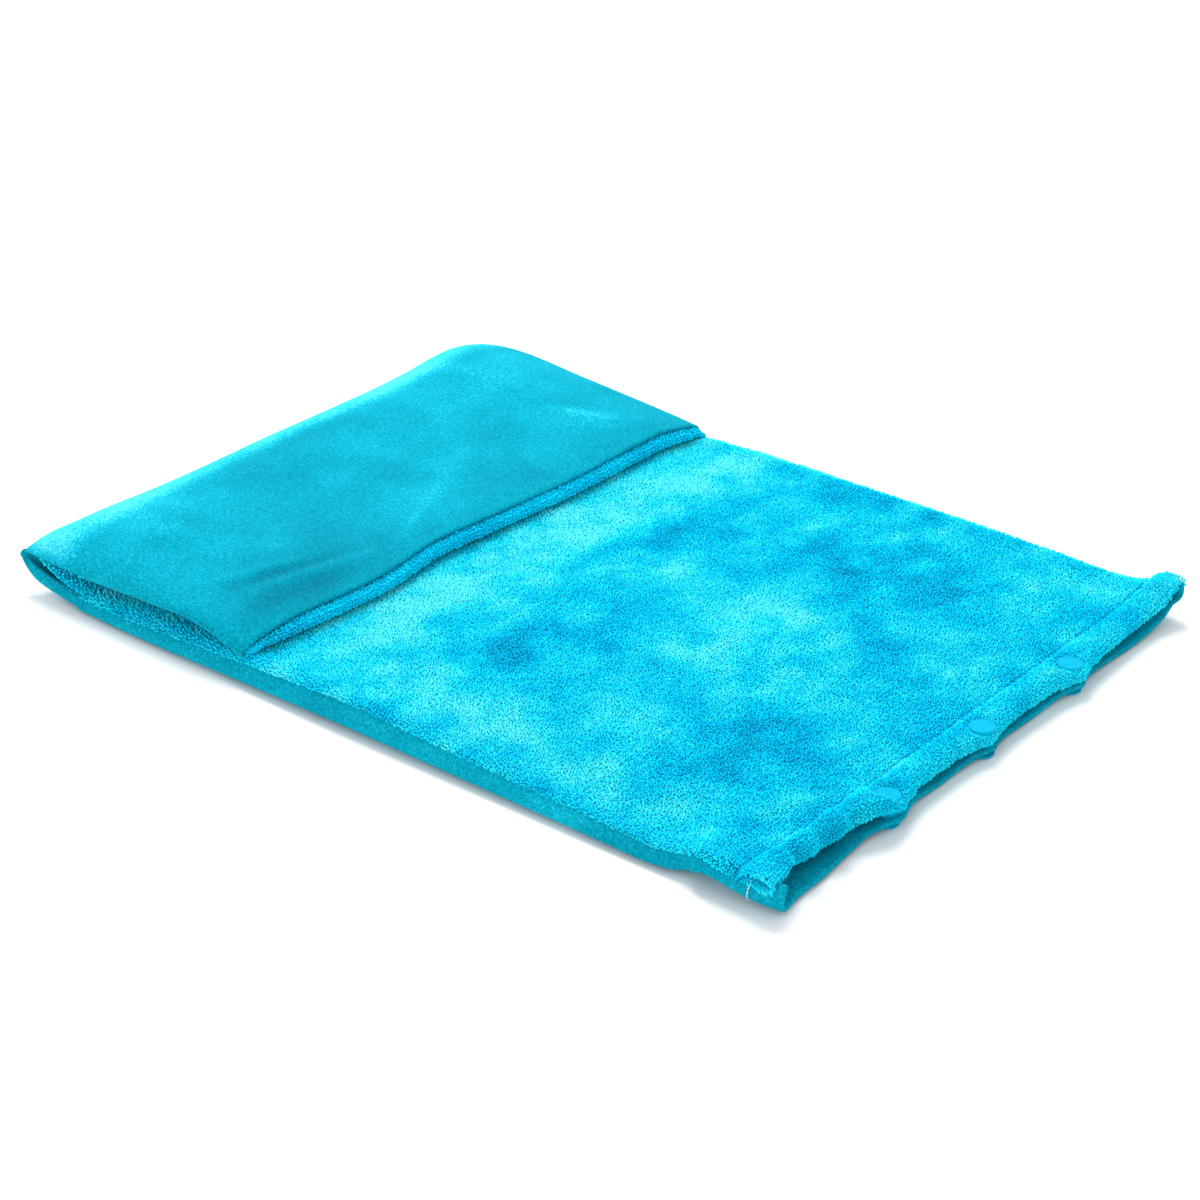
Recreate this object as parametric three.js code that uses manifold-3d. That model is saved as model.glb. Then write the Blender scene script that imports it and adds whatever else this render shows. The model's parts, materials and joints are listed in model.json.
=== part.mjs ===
// A plush pouch with a snap mouth, lying flat with its closed end folded over once.
// Millimetres, +Z up. X runs along the pouch: the fold is at -X and the snap mouth at +X.
// Y runs across it, and the origin is on the floor under the middle of the folded pouch.
// A velour sheet is the back and wraps up both sides, and a plush sheet is the front.
// Four bodies move: the base, the fold's strip, the folded-over flap and the mouth's lip.
import * as THREE from "three";
import { mergeVertices } from "three/addons/utils/BufferGeometryUtils.js";
import Module from "manifold-3d";

const wasm = await Module();
wasm.setup();
const { smoothstep } = THREE.MathUtils;

// ---- driving dimensions ----
const LENGTH = 442; // fold to mouth, lying folded
const WIDTH = 334; // across the pouch
const FOLD_TOP = 42; // height of the fold
const FLAP_FRONT_X = -68; // front edge of the folded-over end
const VELOUR = 2; // thickness of the velour
const PLUSH = 5.7; // thickness of the plush, pile included
const GAP = 0.3; // between pieces that touch
const HEM = 19; // width of the hems at the mouth
const GROOVE = 1.6; // width of a groove that stitching lies in
const THREAD_R = 0.45;

const END_X = LENGTH / 2;
const SIDE_Y = WIDTH / 2;
const HEM_X = END_X - HEM; // where both hems start
const PANEL_END_X = HEM_X - GROOVE; // where the panels stop, behind the groove
const GROOVE_X = HEM_X - GROOVE / 2;

// heights of the layers, from the floor up
const FRONT_LOW = 8.8; // underside of the plush front
const FRONT_TOP = FRONT_LOW + PLUSH;
const FRONT_HALF = SIDE_Y - VELOUR - 2 * GAP; // half the width of the plush
const WRAP_TOP = 12.5; // where the velour side wrap meets the side seam
const WRAP_R = 8; // bend of the wrap at the bottom edge
const BACK_HALF = SIDE_Y - WRAP_R - 2; // half the width of the flat back
const LOWER_HEM = 4; // thickness of the doubled velour
const UPPER_HEM_LOW = 9.3;
const UPPER_HEM_TOP = 14.9;

// the fold turns half round the axis at BEND_X, on two quarter bends of the same radius
const FOLD_R = FOLD_TOP / 2;
const BEND_X = -END_X + FOLD_R;
const PANEL_START_X = BEND_X + 10; // where the flat panels meet the fold

// the flap's layers, from its front edge
const ROLL_R = 4.7; // the plush rolled round the flap's closed end
const FLAP_END_X = FLAP_FRONT_X - 2 * ROLL_R - GROOVE; // where its sheets stop
const FLAP_PLUSH_LOW = FRONT_TOP + 3;
const FLAP_VELOUR_LOW = FLAP_PLUSH_LOW + PLUSH + GAP;
const SHOULDER = 42; // width of the flap's rounded shoulders

// the lip is the middle of the mouth's upper layer, which lifts when the snaps are pulled open
const LIP_X = 110;
const LIP_HALF = 95;

// ---- snap fasteners, the common 12.4 mm plastic size ----
const SNAP_X = END_X - 8;
const SNAP_PITCH = 74.5;
const SNAP_MIDDLE_Y = -3.5;
const CAP_R = 6.2;
const CAP_T = 1.3;
const CAP_RIM = 0.45; // rounding of a cap's rim
const CAP_BED_R = CAP_R + GAP;
const PRONG_R = 1.1;
const PRONG_HOLE_R = PRONG_R + GAP;
const RING_R = 5.3; // outside of the socket and of the stud's flange
const POST_R = 2.2;
const WELL_R = 2.6; // the socket's well, which the post snaps into
const LOWER_BED_Z = CAP_T + GAP; // bed of the lower cap, in the lower hem
const UPPER_BED_Z = 12.3; // bed of the upper cap, in the upper hem
const STUD_Z = LOWER_HEM + GAP;
const FLANGE_T = 1;
const POST_TOP = 7.6;
const SOCKET_LOW = STUD_Z + FLANGE_T + GAP;
const SOCKET_TOP = UPPER_HEM_LOW - GAP;
const WELL_TOP = 8;
const LATHE_STEPS = 24;

const material = {
  velour: new THREE.MeshStandardMaterial({ color: 0x12a3bd, roughness: 0.85 }),
  plush: new THREE.MeshStandardMaterial({ color: 0x08bde8, roughness: 0.95 }),
  snap: new THREE.MeshStandardMaterial({ color: 0x00b8df, roughness: 0.35 }),
  thread: new THREE.MeshStandardMaterial({ color: 0x0fa8c8, roughness: 0.7 }),
};

const part = new THREE.Group();

function addMesh(name, geometry, finish) {
  const mesh = new THREE.Mesh(geometry, material[finish]);
  mesh.name = name;
  part.add(mesh);
  return mesh;
}

// ---- solids ----

function toSolid(geometry) {
  const bare = geometry.index ? geometry.toNonIndexed() : geometry.clone();
  bare.deleteAttribute("normal");
  bare.deleteAttribute("uv");
  const merged = mergeVertices(bare, 1e-3);
  const vertProperties = merged.attributes.position.array;
  const triVerts = new Uint32Array(merged.index.array);
  return new wasm.Manifold(new wasm.Mesh({ numProp: 3, vertProperties, triVerts }));
}

function toGeometry(solid) {
  const mesh = solid.getMesh();
  const geometry = new THREE.BufferGeometry();
  geometry.setAttribute("position", new THREE.BufferAttribute(mesh.vertProperties, 3));
  geometry.setIndex(new THREE.BufferAttribute(mesh.triVerts, 1));
  return geometry;
}

function box(x0, x1, y0, y1, z0, z1) {
  const geometry = new THREE.BoxGeometry(x1 - x0, y1 - y0, z1 - z0);
  return geometry.translate((x0 + x1) / 2, (y0 + y1) / 2, (z0 + z1) / 2);
}

function cylinder(radius, z0, z1) {
  const geometry = new THREE.CylinderGeometry(radius, radius, z1 - z0, LATHE_STEPS);
  return geometry.rotateX(Math.PI / 2).translate(0, 0, (z0 + z1) / 2);
}

// An outline of [radius, height] points turned about the Z axis.
function turned(outline) {
  const profile = [...outline, outline[0]].map(([r, z]) => new THREE.Vector2(r, z));
  return new THREE.LatheGeometry(profile, LATHE_STEPS).rotateX(Math.PI / 2);
}

// A shape in x and z, carried across the pouch from y0 to y1.
function acrossPouch(shape, y0, y1) {
  const geometry = new THREE.ExtrudeGeometry(shape, { depth: y1 - y0, bevelEnabled: false, curveSegments: 10 });
  return geometry.rotateX(Math.PI / 2).translate(0, y1, 0);
}

// A shape in y and z, carried along the pouch from x0 to x1.
function alongPouch(shape, x0, x1) {
  const geometry = new THREE.ExtrudeGeometry(shape, { depth: x1 - x0, bevelEnabled: false, curveSegments: 5 });
  return geometry.rotateX(Math.PI / 2).rotateZ(Math.PI / 2).translate(x0, 0, 0);
}

function thread(points, steps) {
  const section = new THREE.Shape();
  section.absarc(0, 0, THREAD_R, 0, 2 * Math.PI);
  const path = new THREE.CatmullRomCurve3(points.map((p) => new THREE.Vector3(...p)));
  return new THREE.ExtrudeGeometry(section, { steps, extrudePath: path, curveSegments: 3, bevelEnabled: false });
}

// ---- velour back, its side wraps and the lower hem ----

// One side's wrap in y and z: along the floor, round the bottom edge and up the side.
function wrapShape(thickness) {
  const shape = new THREE.Shape();
  const bendY = SIDE_Y - WRAP_R;
  shape.moveTo(BACK_HALF + GAP, 0);
  shape.lineTo(bendY, 0);
  shape.absarc(bendY, WRAP_R, WRAP_R, -Math.PI / 2, 0, false);
  shape.lineTo(SIDE_Y, WRAP_TOP);
  shape.lineTo(SIDE_Y - thickness, WRAP_TOP);
  shape.absarc(bendY, WRAP_R, WRAP_R - thickness, 0, -Math.PI / 2, true);
  shape.lineTo(BACK_HALF + GAP, thickness);
  shape.closePath();
  return shape;
}

function addWraps(kind, thickness, x0, x1) {
  const wrap = alongPouch(wrapShape(thickness), x0, x1);
  addMesh(`far_${kind}`, wrap, "velour");
  addMesh(`near_${kind}`, wrap.clone().rotateZ(Math.PI).translate(x0 + x1, 0, 0), "velour");
}

function addBack() {
  const start = PANEL_START_X + GAP;
  addMesh("back_panel", box(start, PANEL_END_X, -BACK_HALF, BACK_HALF, 0, VELOUR), "velour");
  addWraps("side_wrap", VELOUR, start, PANEL_END_X);
}

// The velour doubled inwards, with the beds and holes of the snaps.
function addLowerHem() {
  let hem = toSolid(box(HEM_X, END_X, -BACK_HALF, BACK_HALF, 0, LOWER_HEM));
  for (const y of snapPlaces()) {
    hem = hem.subtract(toSolid(cylinder(CAP_BED_R, -1, LOWER_BED_Z).translate(SNAP_X, y, 0)));
    hem = hem.subtract(toSolid(cylinder(PRONG_HOLE_R, -1, LOWER_HEM + 1).translate(SNAP_X, y, 0)));
  }
  addMesh("lower_hem", toGeometry(hem), "velour");
  addWraps("hem_wrap", LOWER_HEM, HEM_X, END_X);
}

// ---- plush front and the upper hem ----

function addFront() {
  const start = PANEL_START_X + GAP;
  addMesh("front_panel", box(start, LIP_X, -FRONT_HALF, FRONT_HALF, FRONT_LOW, FRONT_TOP), "plush");
  const lipStart = LIP_X + GAP;
  const corner = LIP_HALF + GAP;
  addMesh("lip_panel", box(lipStart, PANEL_END_X, -LIP_HALF, LIP_HALF, FRONT_LOW, FRONT_TOP), "plush");
  addMesh("far_corner_panel", box(lipStart, PANEL_END_X, corner, FRONT_HALF, FRONT_LOW, FRONT_TOP), "plush");
  addMesh("near_corner_panel", box(lipStart, PANEL_END_X, -FRONT_HALF, -corner, FRONT_LOW, FRONT_TOP), "plush");
}

// The plush doubled inwards, so its mouth edge is a round roll.
function upperHemShape() {
  const r = (UPPER_HEM_TOP - UPPER_HEM_LOW) / 2;
  const shape = new THREE.Shape();
  shape.moveTo(HEM_X, UPPER_HEM_TOP);
  shape.lineTo(HEM_X, UPPER_HEM_LOW);
  shape.absarc(END_X - r, UPPER_HEM_LOW + r, r, -Math.PI / 2, Math.PI / 2, false);
  shape.closePath();
  return shape;
}

function addUpperHem() {
  const shape = upperHemShape();
  let lip = toSolid(acrossPouch(shape, -LIP_HALF, LIP_HALF));
  for (const y of snapPlaces()) {
    lip = lip.subtract(toSolid(cylinder(CAP_BED_R, UPPER_BED_Z, UPPER_HEM_TOP + 1).translate(SNAP_X, y, 0)));
    lip = lip.subtract(toSolid(cylinder(PRONG_HOLE_R, UPPER_HEM_LOW - 1, UPPER_BED_Z + 1).translate(SNAP_X, y, 0)));
  }
  addMesh("upper_hem", toGeometry(lip), "plush");
  const corner = LIP_HALF + GAP;
  const side = SIDE_Y - LOWER_HEM - GAP;
  addMesh("far_hem_end", acrossPouch(shape, corner, side), "plush");
  addMesh("near_hem_end", acrossPouch(shape, -side, -corner), "plush");
}

// ---- the fold ----

// A quarter bend between two radii, with the flat stretch that joins it to the lower panels.
function bendShape(outer, inner) {
  const shape = new THREE.Shape();
  shape.moveTo(PANEL_START_X, FOLD_R - outer);
  shape.absarc(BEND_X, FOLD_R, outer, -Math.PI / 2, Math.PI, true);
  shape.absarc(BEND_X, FOLD_R, inner, Math.PI, -Math.PI / 2, false);
  shape.lineTo(PANEL_START_X, FOLD_R - inner);
  shape.closePath();
  return shape;
}

function addBend(name, outer, inner, half, finish) {
  const bend = acrossPouch(bendShape(outer, inner), -half, half);
  const lower = bend.translate(0, 0, -GAP / 2);
  addMesh(`${name}_lower_bend`, lower, finish);
  addMesh(`${name}_upper_bend`, lower.clone().rotateX(Math.PI).translate(0, 0, FOLD_TOP), finish);
}

function addFold() {
  addBend("back", FOLD_R - GAP / 2, FOLD_R - VELOUR - GAP / 2, FRONT_HALF, "velour");
  addBend("front", FOLD_R - FRONT_LOW, FOLD_R - FRONT_TOP, FRONT_HALF - GAP, "plush");
}

// ---- the folded-over flap ----

// A sheet from the fold to the flap's end. It lies at low and rises to join the fold's layer,
// except along its shoulders, which stay down.
function flapSheet(low, thickness, foldLow) {
  const start = PANEL_START_X + GAP;
  const length = FLAP_END_X - start;
  const sheet = new THREE.BoxGeometry(length, 2 * FRONT_HALF, thickness, 16, 24, 1);
  sheet.translate(start + length / 2, 0, low + thickness / 2);
  const at = sheet.attributes.position;
  for (let k = 0; k < at.count; k++) {
    const run = 1 - smoothstep(at.getX(k), start, FLAP_END_X);
    const side = smoothstep(Math.abs(at.getY(k)), SIDE_Y - SHOULDER, SIDE_Y);
    const beyondFold = smoothstep(at.getX(k), start, start + SHOULDER);
    at.setZ(k, at.getZ(k) + (foldLow - low) * run * (1 - side * beyondFold));
  }
  return sheet;
}

function addFlap() {
  addMesh("flap_back_panel", flapSheet(FLAP_VELOUR_LOW, VELOUR, FOLD_TOP - VELOUR), "velour");
  addMesh("flap_front_panel", flapSheet(FLAP_PLUSH_LOW, PLUSH, FOLD_TOP - FRONT_TOP), "plush");
  const roll = new THREE.Shape();
  roll.absarc(FLAP_FRONT_X - ROLL_R, FRONT_TOP + GAP + ROLL_R, ROLL_R, 0, 2 * Math.PI);
  addMesh("flap_edge_roll", acrossPouch(roll, -FRONT_HALF, FRONT_HALF), "plush");
}

// ---- snaps ----

function snapPlaces() {
  return [-SNAP_PITCH, 0, SNAP_PITCH].map((y) => SNAP_MIDDLE_Y + y);
}

function lowerCap() {
  const prongTop = POST_TOP - 2 * GAP;
  return turned([
    [0, 0],
    [CAP_R - CAP_RIM, 0],
    [CAP_R, CAP_RIM],
    [CAP_R, CAP_T],
    [PRONG_R, CAP_T],
    [PRONG_R, prongTop],
    [0, prongTop],
  ]);
}

function upperCap() {
  const low = UPPER_BED_Z + GAP;
  const prongLow = WELL_TOP + GAP;
  return turned([
    [0, prongLow],
    [PRONG_R, prongLow],
    [PRONG_R, low],
    [CAP_R, low],
    [CAP_R, low + CAP_T - CAP_RIM],
    [CAP_R - CAP_RIM, low + CAP_T],
    [0, low + CAP_T],
  ]);
}

// A flange with a post, which is a little wider near its end than at its root.
function stud() {
  const flangeTop = STUD_Z + FLANGE_T;
  return turned([
    [PRONG_HOLE_R, STUD_Z],
    [RING_R, STUD_Z],
    [RING_R, flangeTop],
    [POST_R - GAP, flangeTop],
    [POST_R, POST_TOP - 3 * GAP],
    [POST_R - GAP, POST_TOP],
    [PRONG_HOLE_R, POST_TOP],
  ]);
}

function socket() {
  return turned([
    [WELL_R, SOCKET_LOW],
    [RING_R, SOCKET_LOW],
    [RING_R, SOCKET_TOP - GAP],
    [RING_R - GAP, SOCKET_TOP],
    [PRONG_HOLE_R, SOCKET_TOP],
    [PRONG_HOLE_R, WELL_TOP],
    [WELL_R, WELL_TOP],
  ]);
}

function addSnaps() {
  const pieces = { lower_cap: lowerCap(), stud: stud(), socket: socket(), upper_cap: upperCap() };
  const labels = ["near", "middle", "far"];
  snapPlaces().forEach((y, k) => {
    for (const [piece, geometry] of Object.entries(pieces)) {
      addMesh(`${piece}_${labels[k]}`, geometry, "snap").position.set(SNAP_X, y, 0);
    }
  });
}

// ---- stitching ----

function addSideSeams() {
  const start = PANEL_START_X + GAP;
  const seamZ = WRAP_TOP + GAP + THREAD_R;
  const seamY = SIDE_Y - VELOUR / 2;
  const flapY = FRONT_HALF + GAP + THREAD_R;
  const flapZ = FLAP_VELOUR_LOW - GAP;
  for (const [label, side] of Object.entries({ near: -1, far: 1 })) {
    const seam = thread([[start, side * seamY, seamZ], [PANEL_END_X, side * seamY, seamZ]], 1);
    addMesh(`${label}_side_seam`, seam, "thread");
    const flapSeam = thread([[start, side * flapY, flapZ], [FLAP_END_X, side * flapY, flapZ]], 1);
    addMesh(`${label}_flap_seam`, flapSeam, "thread");
  }
  const endX = FLAP_END_X + GROOVE / 2;
  const endZ = FLAP_VELOUR_LOW + VELOUR / 2;
  const endHalf = FRONT_HALF - GAP;
  addMesh("flap_end_seam", thread([[endX, -endHalf, endZ], [endX, endHalf, endZ]], 1), "thread");
}

function addUpperStitching() {
  const z = FRONT_TOP - THREAD_R;
  const end = SIDE_Y - LOWER_HEM - GAP;
  const runs = {
    upper_hem_stitching: [-LIP_HALF, LIP_HALF],
    far_hem_stitching: [LIP_HALF + GAP, end],
    near_hem_stitching: [-end, -LIP_HALF - GAP],
  };
  for (const [name, [y0, y1]] of Object.entries(runs)) {
    addMesh(name, thread([[GROOVE_X, y0, z], [GROOVE_X, y1, z]], 1), "thread");
  }
}

// The lower hem's stitching also climbs the side wraps.
function addLowerStitching() {
  const low = THREAD_R + GAP;
  const bendY = SIDE_Y - WRAP_R;
  const wallY = SIDE_Y - low;
  const middle = (WRAP_R - low) * Math.SQRT1_2;
  const half = [
    [bendY - WRAP_R, low],
    [bendY, low],
    [bendY + middle, WRAP_R - middle],
    [wallY, WRAP_R],
    [wallY, WRAP_TOP - GAP],
  ];
  const line = [...half.map(([y, z]) => [-y, z]).reverse(), [0, low], ...half];
  addMesh("lower_hem_stitching", thread(line.map(([y, z]) => [GROOVE_X, y, z]), 54), "thread");
}

addBack();
addLowerHem();
addFront();
addUpperHem();
addFold();
addFlap();
addSnaps();
addSideSeams();
addUpperStitching();
addLowerStitching();

export default part;
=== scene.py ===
"""Visual model of a plush pouch with a snap mouth, its closed end folded over.

Lengths inside the script are millimetres in the row frame: X runs from the fold
to the mouth, Y across the pouch and Z up. Meshes are written in metres.
"""

from __future__ import annotations

import json
import logging
import math
from dataclasses import dataclass
from enum import Enum
from typing import Sequence

import bpy
import numpy as np
from mathutils import Matrix

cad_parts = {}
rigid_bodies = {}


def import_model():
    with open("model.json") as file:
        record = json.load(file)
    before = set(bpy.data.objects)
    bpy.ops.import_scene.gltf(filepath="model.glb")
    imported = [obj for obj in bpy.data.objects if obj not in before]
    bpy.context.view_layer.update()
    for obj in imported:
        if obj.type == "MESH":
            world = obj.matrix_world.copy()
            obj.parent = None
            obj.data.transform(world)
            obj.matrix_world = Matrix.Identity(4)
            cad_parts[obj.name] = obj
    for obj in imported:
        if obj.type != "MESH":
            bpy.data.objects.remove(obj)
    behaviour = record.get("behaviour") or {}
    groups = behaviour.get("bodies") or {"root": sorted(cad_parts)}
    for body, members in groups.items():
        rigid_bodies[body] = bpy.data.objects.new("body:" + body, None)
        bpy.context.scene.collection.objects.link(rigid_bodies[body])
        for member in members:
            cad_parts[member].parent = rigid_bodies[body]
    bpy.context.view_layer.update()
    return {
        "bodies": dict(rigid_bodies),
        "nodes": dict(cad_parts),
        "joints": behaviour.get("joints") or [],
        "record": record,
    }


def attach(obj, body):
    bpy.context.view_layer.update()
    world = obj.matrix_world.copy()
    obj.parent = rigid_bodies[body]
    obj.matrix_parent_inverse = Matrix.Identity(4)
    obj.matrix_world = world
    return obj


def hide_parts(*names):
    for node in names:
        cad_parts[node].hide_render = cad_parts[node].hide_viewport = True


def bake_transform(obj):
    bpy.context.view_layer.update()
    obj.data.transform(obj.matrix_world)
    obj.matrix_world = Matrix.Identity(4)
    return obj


logging.basicConfig(level=logging.INFO, format="%(name)s: %(message)s")
LOG = logging.getLogger("pouch")

Array = np.ndarray
Object = bpy.types.Object

MM = 0.001
SEED = 20

# Plan of the pouch, as the solids have it.
PANEL_START = -190.0
LIP_START = 110.0
LIP_HALF = 95.0
GROOVE = 201.2
SEAM_HALF = 165.4
UNDER_HALF = 160.5
SIDE_HALF = 167.0
PILE_HALF = 166.4
FLAP_COVERS = -96.0
SNAP_X = 213.0
SNAP_ROW = (-78.0, -3.5, 71.0)
CAP_TOP = 14.1

VELOUR_THICK = 1.6
PLUSH_THICK = 1.5
PILE_DEPTH = 1.5
SEAM_BELOW = 2.1
SIDE_RIDGE = 9.0
FLOOR_GAP = 0.3
OVERHANG = 3.2

# Pile round a snap's cap: where it starts, and where the cloth has risen again.
CAP_CLEAR = 6.5
DIMPLE_START, DIMPLE_WIDE, DIMPLE_END = 6.3, 3.0, 9.3

# Rows of the mouth's grid: the roll's first rows, those that face up, and those beneath.
ROLL_TOP_ROWS = 18
GROOVE_ROWS = 50
BENEATH_ROW = 60
SEED_STEP = 7
DENSEST = 4.0e6


# Curves and fields


def ease(t: Array | float) -> Array:
    """Smooth step of a value clipped to 0..1."""
    t = np.clip(t, 0.0, 1.0)
    return t * t * (3.0 - 2.0 * t)


def bump(t: Array) -> Array:
    """Bell of height 1 at t = 0, with a spread of about 1."""
    return np.exp(-np.square(t))


def quarter(distance: Array, width: Array | float) -> Array:
    """Share of an edge's own place, 1 at the edge and 0 at width, along a quarter ellipse."""
    return 1.0 - np.sqrt(1.0 - np.square(np.clip(1.0 - distance / width, 0.0, 1.0)))


def slump(distance: Array, width: Array | float) -> Array:
    """Share of an edge's own place where cloth slopes softly down to it."""
    return np.square(np.clip(1.0 - distance / width, 0.0, 1.0))


def through(knots_t: Array, knots: Array, t: Array) -> Array:
    """Monotone cubic curve through knots, one per rising parameter along axis 0."""
    step = np.diff(knots_t).reshape((-1,) + (1,) * (knots.ndim - 1))
    slope = np.diff(knots, axis=0) / step
    tangent = np.zeros_like(knots)
    tangent[0], tangent[-1] = slope[0], slope[-1]
    w1, w2 = 2 * step[1:] + step[:-1], step[1:] + 2 * step[:-1]
    same = slope[:-1] * slope[1:] > 0
    lower = np.where(same, slope[:-1], 1.0)
    upper = np.where(same, slope[1:], 1.0)
    tangent[1:-1] = np.where(same, (w1 + w2) / (w1 / lower + w2 / upper), 0.0)
    t = np.clip(t, knots_t[0], knots_t[-1])
    i = np.clip(np.searchsorted(knots_t, t, side="right") - 1, 0, len(knots_t) - 2)
    h = (knots_t[i + 1] - knots_t[i]).reshape(t.shape + (1,) * (knots.ndim - 1))
    s = ((t - knots_t[i]).reshape(h.shape)) / h
    return (
        (2 * s**3 - 3 * s**2 + 1) * knots[i]
        + (s**3 - 2 * s**2 + s) * h * tangent[i]
        + (3 * s**2 - 2 * s**3) * knots[i + 1]
        + (s**3 - s**2) * h * tangent[i + 1]
    )


class Profile:
    """A height, width or end that varies smoothly along one direction."""

    def __init__(self, *knots: tuple[float, float]) -> None:
        self._t = np.array([k[0] for k in knots], float)
        self._v = np.array([k[1] for k in knots], float)

    def __call__(self, t: Array | float) -> Array:
        return through(self._t, self._v, np.asarray(t, float))


class Rail:
    """A path of (x, z) knots that runs along the pouch at one place across it."""

    def __init__(self, *knots: tuple[float, float]) -> None:
        self.knots = np.array(knots, float)

    def rows(self, first: int, last: int, steps: int) -> tuple[Array, Array, Array]:
        """Distances at all knots, then of rows between two knots, and the rows' knot numbers."""
        step = np.linalg.norm(np.diff(self.knots, axis=0), axis=1)
        marks = np.concatenate(([0.0], np.cumsum(step)))
        t = np.linspace(marks[first], marks[last], steps)
        return marks, t, np.interp(t, marks, np.arange(len(marks)))


class Cloud:
    """Smooth seeded noise over the plane, between -1 and 1."""

    def __init__(self, seed: int, cell: float, octaves: int = 2) -> None:
        self._cell = cell
        self._octaves = octaves
        self._lattice = np.random.default_rng(seed).uniform(-1, 1, (64, 64))

    def _layer(self, x: Array, y: Array) -> Array:
        ix, iy = np.floor(x).astype(int), np.floor(y).astype(int)
        fx, fy = ease(x - ix), ease(y - iy)
        at = lambda i, j: self._lattice[i % 64, j % 64]
        low = at(ix, iy) * (1 - fx) + at(ix + 1, iy) * fx
        high = at(ix, iy + 1) * (1 - fx) + at(ix + 1, iy + 1) * fx
        return low * (1 - fy) + high * fy

    def __call__(self, x: Array, y: Array) -> Array:
        x = np.asarray(x, float) / self._cell + 31.7
        y = np.asarray(y, float) / self._cell + 17.3
        total, size = 0.0, 1.0
        for k in range(self._octaves):
            total = total + size * self._layer(x * 2.03**k, y * 1.97**k)
            size *= 0.5
        return total / (2.0 - 2.0 * size)


def by_seam(y: Array) -> Array:
    """1 at the side seams, 0 in the middle."""
    return ease((np.abs(y) - (SEAM_HALF - SIDE_RIDGE)) / SIDE_RIDGE)


def from_snap(grid: Array) -> Array:
    """Distance in plan to the nearest snap."""
    x, y = grid[..., 0], grid[..., 1]
    return np.min([np.hypot(x - SNAP_X, y - snap) for snap in SNAP_ROW], axis=0)


@dataclass(frozen=True)
class Crease:
    """A soft ridge or valley along a line on the cloth, in plan."""

    start: tuple[float, float]
    end: tuple[float, float]
    height: float
    width: float

    def lift(self, x: Array, y: Array) -> Array:
        """Height that the crease adds at places in plan."""
        a, b = np.array(self.start), np.array(self.end)
        d = b - a
        along = np.clip(((x - a[0]) * d[0] + (y - a[1]) * d[1]) / (d @ d), 0, 1)
        off = np.hypot(x - a[0] - along * d[0], y - a[1] - along * d[1])
        fade = np.sqrt(np.clip(4 * along * (1 - along), 0, 1))
        return self.height * fade * bump(off / self.width)


@dataclass(frozen=True)
class Patch:
    """A hand-sized area of lighter or darker tone: pile brushed up (light) or down (dark) on the
    plush, and on the velour flap painted shade and a lighter patch.
    """

    x: float
    y: float
    reach_x: float
    reach_y: float
    shade: float

    def tone(self, x: Array, y: Array) -> Array:
        """Tone that the patch adds at places in plan."""
        off = np.hypot((x - self.x) / self.reach_x, (y - self.y) / self.reach_y)
        return self.shade * bump(off)


# Meshes


class Faces(Enum):
    """Which side of a grid faces out: along du x dv, or against it."""

    ALONG = 1
    AGAINST = -1


def grid_normals(grid: Array, faces: Faces) -> Array:
    """Unit normals of a (rows, columns, 3) grid."""
    n = np.cross(np.gradient(grid, axis=0), np.gradient(grid, axis=1)) * faces.value
    return n / np.maximum(np.linalg.norm(n, axis=2, keepdims=True), 1e-9)


def grid_quads(rows: int, cols: int, faces: Faces, offset: int = 0) -> Array:
    """Quads of a grid, wound for the side that faces out."""
    i, j = np.meshgrid(np.arange(rows - 1), np.arange(cols - 1), indexing="ij")
    a = i * cols + j
    q = np.stack([a, a + cols, a + cols + 1, a + 1], -1).reshape(-1, 4) + offset
    return q if faces is Faces.ALONG else q[:, ::-1]


def border(rows: int, cols: int) -> tuple[Array, Array]:
    """Indices round a grid's rim, and for each the neighbour just inside it."""
    i, j = np.arange(rows - 1), np.arange(cols - 1)
    row = np.concatenate([0 * j, i, 0 * j + rows - 1, rows - 1 - i])
    col = np.concatenate([j, 0 * i + cols - 1, cols - 1 - j, 0 * i])
    return row * cols + col, np.clip(row, 1, rows - 2) * cols + np.clip(col, 1, cols - 2)


def link(name: str, data: bpy.types.ID) -> Object:
    """An object with its data, in the scene."""
    obj = bpy.data.objects.new(name, data)
    bpy.context.scene.collection.objects.link(obj)
    return obj


def new_object(name: str, verts: Array, faces: Sequence) -> Object:
    """A mesh object at the origin, from millimetre vertices."""
    mesh = bpy.data.meshes.new(name)
    mesh.from_pydata((np.asarray(verts) * MM).tolist(), [], [list(map(int, f)) for f in faces])
    mesh.validate()
    mesh.polygons.foreach_set("use_smooth", [True] * len(mesh.polygons))
    return link(name, mesh)


def set_points(obj: Object, name: str, values: Array) -> None:
    """Stores a number or vector on each vertex."""
    vector = values.ndim == 2
    kind = "FLOAT_VECTOR" if vector else "FLOAT"
    attribute = obj.data.attributes.new(name, kind, "POINT")
    attribute.data.foreach_set("vector" if vector else "value", values.astype(np.float32).ravel())


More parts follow.
